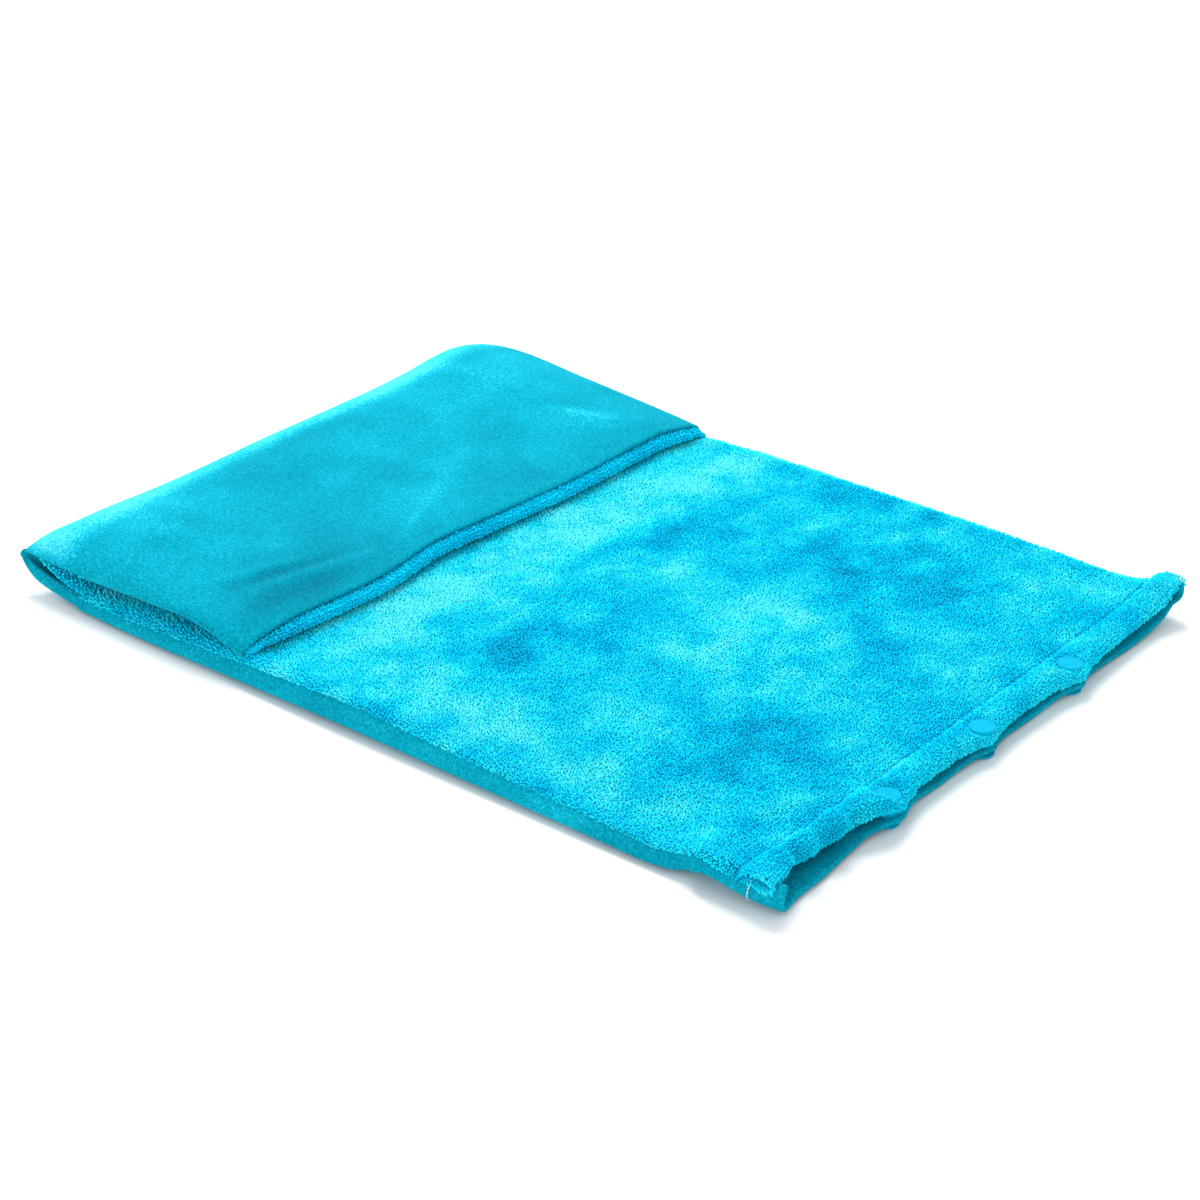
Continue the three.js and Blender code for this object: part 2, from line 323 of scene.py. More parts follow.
def cloth(
    name: str, outer: Array, faces: Faces, thickness: float, material: bpy.types.Material,
    tone: Array, joined: tuple[bool, bool] = (False, False),
) -> Object:
    """A closed sheet of cloth with a soft rounded rim, from a grid on the side that faces out.

    The tone goes to the material's "nap" attribute, which holds brushed patches and painted light
    and shade. Where the first or last row is joined to the next piece, its rim is cut square, so
    that the join doesn't show.
    """
    rows, cols = outer.shape[:2]
    normals = grid_normals(outer, faces)
    inner = outer - normals * thickness
    loop, inside = border(rows, cols)
    top, under = outer.reshape(-1, 3), inner.reshape(-1, 3)
    away = top[loop] - top[inside]
    away /= np.maximum(np.linalg.norm(away, axis=1, keepdims=True), 1e-9)
    row = loop // cols
    square = (row == 0) & joined[0] | (row == rows - 1) & joined[1]
    rim = (top[loop] + under[loop]) / 2 + away * thickness * 0.4 * (1 - square[:, None])
    verts = np.concatenate([top, under, rim])
    n = rows * cols
    other = Faces.AGAINST if faces is Faces.ALONG else Faces.ALONG
    quads = [grid_quads(rows, cols, faces), grid_quads(rows, cols, other, n)]
    k = np.arange(len(loop))
    nxt = np.roll(k, -1)
    a, b = loop, loop[nxt]
    ra, rb = k + 2 * n, nxt + 2 * n
    upper = np.stack([a, b, rb, ra], -1)
    lower = np.stack([ra, rb, b + n, a + n], -1)
    if faces is Faces.AGAINST:
        upper, lower = upper[:, ::-1], lower[:, ::-1]
    obj = new_object(name, verts, np.concatenate(quads + [upper, lower]))
    both = square & square[nxt]
    cut = {tuple(sorted(e)) for m in (0, n) for e in zip(a[both] + m, b[both] + m)}
    if cut:
        ends = np.empty(len(obj.data.edges) * 2, np.int32)
        obj.data.edges.foreach_get("vertices", ends)
        sharp = obj.data.attributes.new("sharp_edge", "BOOLEAN", "EDGE")
        pairs = ends.reshape(-1, 2).tolist()
        sharp.data.foreach_set("value", [tuple(sorted(pair)) in cut for pair in pairs])
    flat = tone.ravel()
    set_points(obj, "nap", np.concatenate([flat, flat, flat[loop]]))
    obj.data.materials.append(material)
    return obj


# Node trees


class Field:
    """A node socket that can be used in arithmetic."""

    def __init__(self, graph: "Graph", socket: bpy.types.NodeSocket) -> None:
        self.graph, self.socket = graph, socket

    def _maths(self, operation: str, *operands: "Field | float", clamp: bool = False) -> "Field":
        node = self.graph.tree.nodes.new("ShaderNodeMath")
        node.operation, node.use_clamp = operation, clamp
        for slot, value in zip(node.inputs, operands):
            self.graph.feed(slot, value)
        return Field(self.graph, node.outputs[0])

    def __add__(self, other: "Field | float") -> "Field":
        return self._maths("ADD", self, other)

    def __sub__(self, other: "Field | float") -> "Field":
        return self._maths("SUBTRACT", self, other)

    def __mul__(self, other: "Field | float") -> "Field":
        return self._maths("MULTIPLY", self, other)

    def clamp(self) -> "Field":
        """The value kept within 0..1."""
        return self._maths("ADD", self, 0.0, clamp=True)


class Graph:
    """Thin helper round a node tree."""

    def __init__(self, tree: bpy.types.NodeTree) -> None:
        self.tree = tree

    def feed(self, slot: bpy.types.NodeSocket, value: object) -> None:
        """Links a field, or sets a constant, on an input."""
        if isinstance(value, Field):
            self.tree.links.new(value.socket, slot)
        else:
            slot.default_value = value

    def node(
        self, kind: str, inputs: dict | None = None, out: int | str = 0, **props: object,
    ) -> Field:
        """Adds a node with its inputs and properties, and returns one output."""
        made = self.tree.nodes.new(kind)
        for key, value in props.items():
            setattr(made, key, value)
        for key, value in (inputs or {}).items():
            self.feed(made.inputs[key], value)
        return Field(self, made.outputs[out])


class Paint(Graph):
    """A material's shader tree."""

    def __init__(self, name: str, base: tuple[float, float, float], **constants: object) -> None:
        self.material = bpy.data.materials.new(name)
        self.material.use_nodes = True
        super().__init__(self.material.node_tree)
        self.shader = self.tree.nodes["Principled BSDF"]
        self.shader.inputs["Base Color"].default_value = (*base, 1.0)
        self.material.diffuse_color = (*base, 1.0)
        for key, value in constants.items():
            self.shader.inputs[key.replace("_", " ")].default_value = value

    def noise(
        self, scale: float, detail: float = 2.0,
        stretch: tuple[float, float, float] = (1, 1, 1), rough: float = 0.55,
    ) -> Field:
        """Noise of about 1/scale metres, in stretched object coordinates."""
        at = self.node("ShaderNodeTexCoord", out="Object")
        at = self.node("ShaderNodeMapping", {"Vector": at, "Scale": stretch})
        inputs = {"Vector": at, "Scale": scale, "Detail": detail, "Roughness": rough}
        return self.node("ShaderNodeTexNoise", inputs, out="Fac")

    def number(self, name: str) -> Field:
        """A number stored on the mesh."""
        return self.node("ShaderNodeAttribute", out="Fac", attribute_name=name)

    def ramp(self, factor: Field, *stops: tuple[float, tuple[float, float, float]]) -> Field:
        """Colours along a factor."""
        made = self.tree.nodes.new("ShaderNodeValToRGB")
        self.feed(made.inputs["Fac"], factor)
        elements = made.color_ramp.elements
        while len(elements) < len(stops):
            elements.new(0.5)
        for element, (position, colour) in zip(elements, stops):
            element.position, element.color = position, (*colour, 1.0)
        return Field(self, made.outputs["Color"])

    def relief(self, height: Field, depth_mm: float, under: Field | None = None) -> Field:
        """A bump of the given depth."""
        inputs = {"Height": height, "Strength": 1.0, "Distance": depth_mm * MM}
        if under is not None:
            inputs["Normal"] = under
        return self.node("ShaderNodeBump", inputs)

    def finish(self, **varying: Field) -> bpy.types.Material:
        """Links varying inputs and returns the material."""
        for key, value in varying.items():
            self.feed(self.shader.inputs[key.replace("_", " ")], value)
        return self.material


class Palette:
    """The pouch's materials."""

    def __init__(self) -> None:
        self.velour = self._velour()
        self.pile = self._pile()
        self.ground = self._ground()
        self.thread = self._thread(
            "spun_thread", (0.01, 0.36, 0.5), (0.004, 0.24, 0.36), (0.03, 0.48, 0.62),
        )
        self.pale_thread = self._thread(
            "pale_thread", (0.4, 0.82, 0.86), (0.28, 0.72, 0.78), (0.55, 0.9, 0.92),
        )
        self.snap = self._snap("snap_gloss", 0.36)
        self.snap_inner = self._snap("snap_satin", 0.5)

    @staticmethod
    def _velour() -> bpy.types.Material:
        p = Paint(
            "velour_brushed", (0.001, 0.31, 0.45), Roughness=0.9, Specular_IOR_Level=0.03,
            Sheen_Weight=0.3, Sheen_Roughness=0.35, Sheen_Tint=(0.03, 0.85, 1.0, 1.0),
        )
        grain = p.noise(800, 3.0, rough=0.8)
        fine = p.noise(2300, 2.0)
        brushed = p.noise(24, 4.0, (1.0, 0.55, 1.0), rough=0.6)
        # The nap number brings brushed patches, the painted highlight over the fold and the painted
        # light and shade of the flap.
        nap = p.number("nap")
        tone = (brushed * 0.4 + grain * 1.5 + fine * 0.6 + nap * 0.5 - 0.77).clamp()
        colour = p.ramp(
            tone, (0.0, (0.0, 0.15, 0.24)), (0.35, (0.0, 0.27, 0.39)),
            (0.6, (0.001, 0.39, 0.53)), (0.82, (0.01, 0.56, 0.75)), (1.0, (0.1, 0.8, 0.97)),
        )
        relief = p.relief(grain, 0.5, p.relief(fine, 0.15))
        return p.finish(Base_Color=colour, Roughness=(fine * 0.12 + 0.84), Normal=relief)

    @staticmethod
    def _pile() -> bpy.types.Material:
        p = Paint(
            "plush_pile", (0.003, 0.76, 0.98), Roughness=0.9, Specular_IOR_Level=0.05,
            Sheen_Weight=0.25, Sheen_Roughness=0.35, Sheen_Tint=(0.05, 0.85, 1.0, 1.0),
        )
        # The tip number darkens each tuft towards its root: painted shade deep in the pile.
        tone = p.number("tip") * 0.26 + p.number("tint") * 0.2 + p.number("nap") * 0.5
        tone = (tone + 0.29).clamp()
        colour = p.ramp(
            tone, (0.0, (0.0, 0.42, 0.66)), (0.25, (0.0, 0.6, 0.86)),
            (0.5, (0.0, 0.75, 0.97)), (0.76, (0.025, 0.87, 0.99)), (1.0, (0.14, 0.94, 1.0)),
        )
        return p.finish(Base_Color=colour)

    @staticmethod
    def _ground() -> bpy.types.Material:
        # The ground is coloured darker than the pile: painted shade between the tufts.
        p = Paint(
            "plush_ground", (0.001, 0.56, 0.82), Roughness=0.95, Specular_IOR_Level=0.06,
            Sheen_Weight=0.15, Sheen_Roughness=0.4, Sheen_Tint=(0.15, 0.9, 1.0, 1.0),
        )
        knots = p.noise(620, 3.0, rough=0.65)
        tone = (knots * 1.1 + p.number("nap") * 0.3 - 0.12).clamp()
        colour = p.ramp(
            tone, (0.0, (0.0, 0.36, 0.6)), (0.5, (0.001, 0.56, 0.82)), (1.0, (0.004, 0.76, 0.97)),
        )
        return p.finish(Base_Color=colour, Normal=p.relief(knots, 0.6))

    @staticmethod
    def _thread(name: str, mean: tuple, dark: tuple, light: tuple) -> bpy.types.Material:
        p = Paint(name, mean, Roughness=0.8, Specular_IOR_Level=0.1)
        twist = p.noise(1700, 1.0, (1.0, 1.0, 0.4))
        colour = p.ramp(twist, (0.3, dark), (0.7, light))
        return p.finish(Base_Color=colour, Normal=p.relief(twist, 0.1))

    @staticmethod
    def _snap(name: str, roughness: float) -> bpy.types.Material:
        p = Paint(name, (0.0, 0.58, 0.86), Roughness=roughness, Specular_IOR_Level=0.02)
        mottle = p.noise(260, 2.0)
        fine = p.noise(2600, 2.0)
        colour = p.ramp(mottle, (0.3, (0.0, 0.4, 0.6)), (0.7, (0.0, 0.44, 0.66)))
        rough = mottle * 0.12 + (roughness - 0.05)
        return p.finish(Base_Color=colour, Roughness=rough, Normal=p.relief(fine, 0.02))


# Pile and stitches, by Geometry Nodes


class Scatter(Graph):
    """A Geometry Nodes tree with named inputs, run once on a host mesh."""

    def __init__(self, name: str, inputs: dict[str, str]) -> None:
        super().__init__(bpy.data.node_groups.new(name, "GeometryNodeTree"))
        self._ids = {}
        for label, kind in {"Geometry": "NodeSocketGeometry", **inputs}.items():
            made = self.tree.interface.new_socket(label, in_out="INPUT", socket_type=kind)
            self._ids[label] = made.identifier
        self.tree.interface.new_socket(
            "Geometry", in_out="OUTPUT", socket_type="NodeSocketGeometry",
        )
        self._entry = self.tree.nodes.new("NodeGroupInput")
        self._exit = self.tree.nodes.new("NodeGroupOutput")

    def given(self, label: str) -> Field:
        """One of the tree's own inputs."""
        return Field(self, self._entry.outputs[label])

    def result(self, instances: Field) -> None:
        """Ends the tree: real geometry with its material."""
        real = self.node("GeometryNodeRealizeInstances", {"Geometry": instances})
        inputs = {"Geometry": real, "Material": self.given("Material")}
        real = self.node("GeometryNodeSetMaterial", inputs)
        self.tree.links.new(real.socket, self._exit.inputs["Geometry"])

    def run(self, host: Object, name: str, **values: object) -> Object:
        """Applies the tree to a host, which is used up, and returns a plain mesh object."""
        modifier = host.modifiers.new("scatter", "NODES")
        modifier.node_group = self.tree
        for label, value in values.items():
            modifier[self._ids[label]] = value
        host.update_tag()
        bpy.context.view_layer.update()
        graph = bpy.context.evaluated_depsgraph_get()
        mesh = bpy.data.meshes.new_from_object(
            host.evaluated_get(graph), preserve_all_data_layers=True, depsgraph=graph,
        )
        mesh.name = name
        old = host.data
        bpy.data.objects.remove(host)
        bpy.data.meshes.remove(old)
        mesh.polygons.foreach_set("use_smooth", [True] * len(mesh.polygons))
        for spare in ("lean", "long", "cover"):
            if spare in mesh.attributes:
                mesh.attributes.remove(mesh.attributes[spare])
        LOG.info("%s: %d faces", name, len(mesh.polygons))
        return link(name, mesh)


def pile_tree() -> Scatter:
    """The tree that grows tufts on a host with lean, long, cover and nap attributes."""
    g = Scatter("grow_pile", {
        "Tuft": "NodeSocketObject", "Spacing": "NodeSocketFloat", "Length": "NodeSocketFloat",
        "Width": "NodeSocketFloat", "Seed": "NodeSocketInt", "Material": "NodeSocketMaterial",
    })

    def attribute(name: str, kind: str) -> Field:
        return g.node("GeometryNodeInputNamedAttribute", {"Name": name}, data_type=kind)

    spread = g.tree.nodes.new("GeometryNodeDistributePointsOnFaces")
    spread.distribute_method = "POISSON"
    for label, value in {
        "Mesh": g.given("Geometry"), "Distance Min": g.given("Spacing"), "Density Max": DENSEST,
        "Density Factor": attribute("cover", "FLOAT"), "Seed": g.given("Seed"),
    }.items():
        g.feed(spread.inputs[label], value)
    points, normal = Field(g, spread.outputs["Points"]), Field(g, spread.outputs["Normal"])

    def chance(low: object, high: object, kind: str, step: int) -> Field:
        made = g.tree.nodes.new("FunctionNodeRandomValue")
        made.data_type = kind
        least, most, result = {"FLOAT": (2, 3, 1), "FLOAT_VECTOR": (0, 1, 0)}[kind]
        made.inputs[least].default_value, made.inputs[most].default_value = low, high
        made.inputs["Seed"].default_value = step
        return Field(g, made.outputs[result])

    heading = normal
    jitter = chance((-0.28, -0.28, -0.1), (0.28, 0.28, 0.3), "FLOAT_VECTOR", 3)
    for part in (attribute("lean", "FLOAT_VECTOR"), jitter):
        heading = g.node("ShaderNodeVectorMath", {0: heading, 1: part}, operation="ADD")
    turn = g.node("FunctionNodeAlignRotationToVector", {"Vector": heading}, axis="Z")
    spin = g.node("ShaderNodeCombineXYZ", {"Z": chance(0.0, 6.28, "FLOAT", 5)})
    turn = g.node(
        "FunctionNodeRotateRotation",
        {"Rotation": turn, "Rotate By": g.node("FunctionNodeEulerToRotation", {0: spin})},
        rotation_space="LOCAL",
    )
    wide = g.given("Width") * chance(0.75, 1.25, "FLOAT", 7)
    tall = g.given("Length") * chance(0.78, 1.18, "FLOAT", 9) * attribute("long", "FLOAT")
    size = g.node("ShaderNodeCombineXYZ", {"X": wide, "Y": wide, "Z": tall})
    points = g.node(
        "GeometryNodeStoreNamedAttribute",
        {"Geometry": points, "Name": "tint", "Value": chance(0.0, 1.0, "FLOAT", 11)},
        data_type="FLOAT", domain="POINT",
    )
    tuft = g.node("GeometryNodeObjectInfo", {"Object": g.given("Tuft")}, out="Geometry")
    inputs = {"Points": points, "Instance": tuft, "Rotation": turn, "Scale": size}
    g.result(g.node("GeometryNodeInstanceOnPoints", inputs))
    return g


def stitch_tree() -> Scatter:
    """The tree that lays stitches end to end along a host's edges."""
    g = Scatter("sew_stitches", {
        "Stitch": "NodeSocketObject", "Pitch": "NodeSocketFloat", "Material": "NodeSocketMaterial",
    })
    line = g.node("GeometryNodeMeshToCurve", {"Mesh": g.given("Geometry")})
    inputs = {"Curve": line, "Length": g.given("Pitch")}
    line = g.node("GeometryNodeResampleCurve", inputs, mode="LENGTH")
    tangent = g.node("GeometryNodeInputTangent")
    turn = g.node("FunctionNodeAlignRotationToVector", {"Vector": tangent}, axis="X")
    stitch = g.node("GeometryNodeObjectInfo", {"Object": g.given("Stitch")}, out="Geometry")
    inputs = {"Points": line, "Instance": stitch, "Rotation": turn}
    g.result(g.node("GeometryNodeInstanceOnPoints", inputs))
    return g


def tuft_shape() -> Object:
    """A small bent tuft of pile, one unit long and wide, rooted at the origin."""
    verts = [
        (0, 0, -0.35), (1, 0.15, 0.3), (0.1, 1, 0.36), (-0.9, -0.1, 0.32), (-0.05, -1, 0.28),
        (0.35, 0.1, 1.0),
    ]
    faces = [
        (0, 2, 1), (0, 3, 2), (0, 4, 3), (0, 1, 4), (5, 1, 2), (5, 2, 3), (5, 3, 4), (5, 4, 1),
    ]
    obj = new_object("tuft", np.array(verts) / MM, faces)
    # Height along the tuft, 0 at the root: the pile's colour darkens towards the root with it, as
    # painted shade.
    set_points(obj, "tip", np.array([0.0, 0.5, 0.55, 0.5, 0.5, 1.0]))
    return obj


def stitch_shape(length: float = 2.3, radius: float = 0.34) -> Object:
    """One stitch: a short round length of thread whose ends dip into the cloth."""
    rings = [
        (-0.5, 0.35, -0.5), (-0.36, 0.85, -0.05), (0.0, 1.0, 0.16), (0.36, 0.85, -0.05),
        (0.5, 0.35, -0.5),
    ]
    verts, faces, sides = [], [], 6
    for along, wide, rise in rings:
        for k in range(sides):
            a = 2 * math.pi * k / sides
            z = wide * math.sin(a) + rise
            verts.append((along * length, radius * wide * math.cos(a), radius * z))
    last = (len(rings) - 1) * sides
    for low in range(0, last, sides):
        for k in range(sides):
            m = (k + 1) % sides
            faces.append((low + k, low + sides + k, low + sides + m, low + m))
    faces += [tuple(range(sides)), tuple(reversed(range(last, last + sides)))]
    return new_object("stitch", np.array(verts), faces)


class Haberdashery:
    """Makes pile and stitching from their trees."""

    def __init__(self, palette: Palette) -> None:
        self._palette = palette
        self._tuft, self._stitch = tuft_shape(), stitch_shape()
        self._pile, self._sewing = pile_tree(), stitch_tree()
        self._seed = SEED

    def pile(
        self, name: str, tips: Array, faces: Faces, lean: Array, tone: Array,
        cover: Array | None = None, long: Array | None = None,
        spacing: float = 1.0, length: float = 2.0, width: float = 0.76,
    ) -> Object:
        """Pile over a grid of its tips.

        On the grid are the lean, a vector added to the normal, the tone (brushed patches, with
        painted shade where a caller darkens it), the share that grows (cover) and the length factor
        (long). Width is a tuft's half width.
        """
        rows, cols = tips.shape[:2]
        roots = tips - grid_normals(tips, faces) * PILE_DEPTH
        host = new_object(name + "_host", roots.reshape(-1, 3), grid_quads(rows, cols, faces))
        one = np.ones((rows, cols))
        set_points(host, "lean", np.broadcast_to(lean, tips.shape).reshape(-1, 3))
        set_points(host, "nap", tone.ravel())
        set_points(host, "cover", (one if cover is None else cover).ravel())
        set_points(host, "long", (one if long is None else long).ravel())
        self._seed += SEED_STEP
        return self._pile.run(
            host, name, Tuft=self._tuft, Spacing=spacing * MM, Length=length * MM,
            Width=width * MM, Seed=self._seed, Material=self._palette.pile,
        )

    def stitches(
        self, name: str, *lines: Array, pitch: float = 3.0, pale: bool = False,
    ) -> Object:
        """Stitches along polylines of millimetre points, in the cloth's colour or a pale one."""
        mesh = bpy.data.meshes.new(name + "_host")
        verts, edges = [], []
        for line in lines:
            first = len(verts)
            verts += (np.asarray(line) * MM).tolist()
            edges += [(k, k + 1) for k in range(first, len(verts) - 1)]
        mesh.from_pydata(verts, edges, [])
        thread = self._palette.pale_thread if pale else self._palette.thread
        return self._sewing.run(
            link(mesh.name, mesh), name, Stitch=self._stitch, Pitch=pitch * MM, Material=thread,
        )

    def clear(self) -> None:
        """Removes the pattern objects."""
        for obj in (self._tuft, self._stitch):
            bpy.data.objects.remove(obj)


# The pouch's shape


class Shape:
    """Where each cloth surface lies. All methods work on arrays."""

    # Plush front along X: middle and the two side seams.
    front_mid = Profile(
        (-190, 12.5), (-120, 13.5), (-60, 15), (20, 15.5), (110, 15), (170, 14.5), (200, 13.5),
        (226, 13),
    )
    front_near = Profile(
        (-190, 9.5), (-150, 9.8), (-110, 11.5), (-75, 13), (-39, 14.8), (-8, 15.8), (18, 14.8),
        (75, 12.8), (130, 11.4), (155, 10.4), (170, 13), (183, 17), (208, 16.8), (218, 16.8),
        (226, 18.2),
    )
    front_far = Profile(
        (-190, 11), (-60, 13.5), (-20, 15), (100, 15), (150, 14.5), (185, 13), (194, 14), (205, 19),
        (215, 22), (226, 19),
    )
    # Rolled hem of the mouth across Y: its front, its top and its depth.
    hem_front = Profile(
        (-167, 221), (-150, 217), (-143, 212.6), (-134, 215.6), (-124, 213), (-112, 216.2),
        (-104, 214), (-90, 219.5), (-84, 222), (-78, 222.2), (-68, 219), (-54, 216.6), (-30, 216.6),
        (-13, 217.8), (-3.5, 220.9), (7, 218), (24, 217), (50, 217.4), (62, 219), (71, 221.8),
        (80, 219), (96, 217.4), (120, 217), (140, 216.5), (154, 218), (167, 219.5),
    )
    hem_top = Profile(
        (-167, 19.4), (-151, 21), (-143, 18), (-134, 20.8), (-124, 18.4), (-112, 21), (-103, 18.6),
        (-95, 19.6), (-87, 20), (-82, 18.8), (-76, 16), (-65, 15.6), (-40, 15.8), (-4, 15.2),
        (35, 15.8), (71, 15.2), (110, 15), (140, 15), (155, 18), (163, 23), (167, 22),
    )
    hem_depth = Profile(
        (-167, 7.5), (-150, 8.5), (-140, 11), (-125, 12.3), (-105, 12), (-92, 11), (-78, 10.8),
        (-66, 10), (-14, 10), (-3.5, 10.8), (7, 10), (60, 10), (71, 10.8), (82, 9.8), (110, 9),
        (140, 8), (167, 7),
    )
    # Lower lip of the mouth across Y: its front and its underside.
    lip_front = Profile(
        (-167, 224), (-157, 220.8), (-148, 219.4), (-133, 219), (-110, 217), (-97, 216.4),
        (-88, 218), (-78, 221.4), (-68, 218.4), (-56, 215.6), (-32, 215.6), (-13, 216.8),
        (-3.5, 220), (6, 217), (20, 215.8), (50, 216), (61, 217), (71, 221), (81, 217), (96, 216),
        (131, 217), (150, 217.6), (167, 217),
    )
    lip_low = Profile(
        (-167, 1), (-140, 0.6), (-110, 1.2), (-92, 2.4), (-78, 3), (-66, 2.4), (-55, 1.2),
        (-40, 0.4), (-14, 1.6), (-4, 3), (7, 1.6), (35, 0.4), (60, 1.7), (71, 3), (82, 1.7),
        (120, 0.5), (150, 4), (160, 8), (167, 11),
    )
    # Side bands along X: bulge and lower edge.
    near_bulge = Profile(
        (-190, 1.4), (-160, 2.4), (-120, 2.8), (-80, 2.6), (-40, 2.8), (20, 2.8), (100, 2.6),
        (150, 2.6), (168, 1.6), (176, -1.4), (181, 3.2), (190, 2.8), (204, 1.6), (226, -2),
    )
    near_low = Profile(
        (-190, 1.2), (-150, 0.9), (150, 0.9), (165, 1.0), (176, 2.4), (181, 7), (190, 8),
        (204, 6.6), (216, 3.6), (226, 2.6),
    )
    far_bulge = Profile((-190, 0.5), (-100, 2), (60, 2), (150, 1.5), (226, 0.5))
    far_low = Profile((-190, 1.2), (120, 0.9), (175, 2.5), (205, 8), (226, 11))
    # Velour over the fold and flap: middle, the two edges, and the seams under them.
    velour_mid = Rail(
        (-190, 0.3), (-200, 0.5), (-213, 5.5), (-221, 21), (-215.5, 35.5), (-203, 41.7),
        (-190, 41.6), (-150, 36.5), (-115, 31), (-90, 27), (-77, 24.5),
    )
    velour_near = Rail(
        (-190, 1.2), (-203, 3.2), (-220.5, 6.8), (-229.2, 16.8), (-224.5, 23.4), (-209, 23),
        (-190, 22.2), (-150, 23), (-118, 23.8), (-96, 20.2), (-81, 15.4),
    )
    velour_far = Rail(
        (-190, 1.2), (-200, 3), (-212, 7), (-217, 14), (-212, 20), (-203, 23), (-190, 24),
        (-150, 22), (-115, 20), (-92, 18), (-78, 16.6),
    )
    seam_near = Rail(
        (-190, 7.9), (-203, 9.2), (-216, 13), (-227, 19), (-221, 19.9), (-208, 19.5), (-190, 19.4),
        (-150, 20.8), (-118, 21.8), (-96, 18.2), (-82, 13.8),
    )
    seam_far = Rail(
        (-190, 8.4), (-202, 9.5), (-211, 11.5), (-215.5, 14.5), (-211, 18), (-203, 20.4),
        (-190, 21), (-150, 19.8), (-115, 17.8), (-90, 15), (-76, 12.8),
    )
    fold_height = Profile(
        (-167, 0.99), (-155, 0.97), (-144, 0.92), (-120, 0.87), (-77, 0.84), (-44, 0.85),
        (-12, 0.865), (24, 0.86), (59, 0.865), (90, 0.9), (110, 0.95), (125, 0.965), (142, 0.96),
        (155, 0.95), (167, 0.95),
    )
    flap_end = Profile(
        (-166, -81), (-140, -77), (-83, -73.5), (-35, -79), (-4, -77), (32, -74.5), (69, -72.8),
        (99, -73), (129, -73), (142, -71.5), (152, -69.5), (166, -68.5),
    )
    # Plush inside the fold, then under the flap and round its front roll.
    inner_mid = Rail(
        (-190, 12.5), (-200, 14), (-211, 21), (-200, 29), (-190, 31.6), (-150, 26.5), (-115, 21.5),
        (-95, 17.4), (-84, 15.2), (-76.5, 15.4), (-71.4, 18.2), (-72.8, 22), (-79.4, 23.6),
    )
    inner_near = Rail(
        (-190, 9.5), (-205, 12), (-221, 18.4), (-208, 18.2), (-190, 18), (-150, 19.5), (-118, 20.5),
        (-98, 17.5), (-88, 14.4), (-82, 13.2), (-79.2, 13.8), (-79.6, 14.6), (-82, 15),
    )
    inner_far = Rail(
        (-190, 10), (-202, 11.5), (-211, 15.5), (-203, 18.5), (-190, 19.5), (-150, 18.5),
        (-115, 16.5), (-94, 14.2), (-83, 12.8), (-75, 12.6), (-71.4, 14), (-72.8, 15.8), (-77, 16),
    )

    flap_creases = (
        Crease((-84, -59), (-130, 48), 0.7, 3.2),
        Crease((-88, -66), (-104, -142), 0.9, 4.0),
        Crease((-104, -92), (-124, -150), 0.7, 3.6),
        Crease((-97, -80), (-113, -146), -0.6, 4.0),
        Crease((-82, -88), (-94, -150), -0.5, 4.0),
        Crease((-150, -118), (-186, -138), 0.5, 6.0),
        Crease((-205, 96), (-150, 120), 0.6, 9.0),
        Crease((-198, -60), (-188, 30), -0.35, 6.0),
        Crease((-130, 104), (-92, 128), 0.7, 4.0),
    )
    front_creases = (
        Crease((147, -150), (166, -92), -0.9, 7.0),
        Crease((172, -140), (192, -96), 0.9, 7.0),
        Crease((120, -60), (168, -74), -0.5, 9.0),
        Crease((178, 2), (206, 10), 1.3, 6.0),
        Crease((183, -84), (206, -90), 1.5, 7.0),
        Crease((20, 150), (60, 138), -0.7, 12.0),
        Crease((-20, -120), (50, -96), 0.5, 12.0),
    )

    seam_reach = 46.0
    _slow = Cloud(3, 70.0)
    _quick = Cloud(5, 16.0)

    def front(self, x: Array, y: Array) -> Array:
        """Height of the pile's tips on the front panel."""
        near, far = y + SEAM_HALF, SEAM_HALF - y
        mid = self.front_mid(x) + 0.7 * self._slow(x, y)
        z = mid
        for seam, distance in ((self.front_near, near), (self.front_far, far)):
            z = z + (seam(x) - mid) * (1 - ease(distance / self.seam_reach))
        edge = np.minimum(near, far)
        z = z + 1.1 * bump((edge - 6.0) / 5.0) * (0.75 + 0.5 * self._quick(x, y))
        z = z - 2.6 * quarter(np.maximum(edge + 1.1, 0.0), 4.0)
        for crease in self.front_creases:
            z = z + crease.lift(x, y)
        return z + 0.22 * self._quick(x + 40, y)

    def front_grid(self, xs: Array, ys: Array) -> Array:
        """Grid of pile tips over the front panel."""
        x, y = np.meshgrid(xs, ys, indexing="ij")
        return np.stack([x, y, self.front(x, y)], -1)

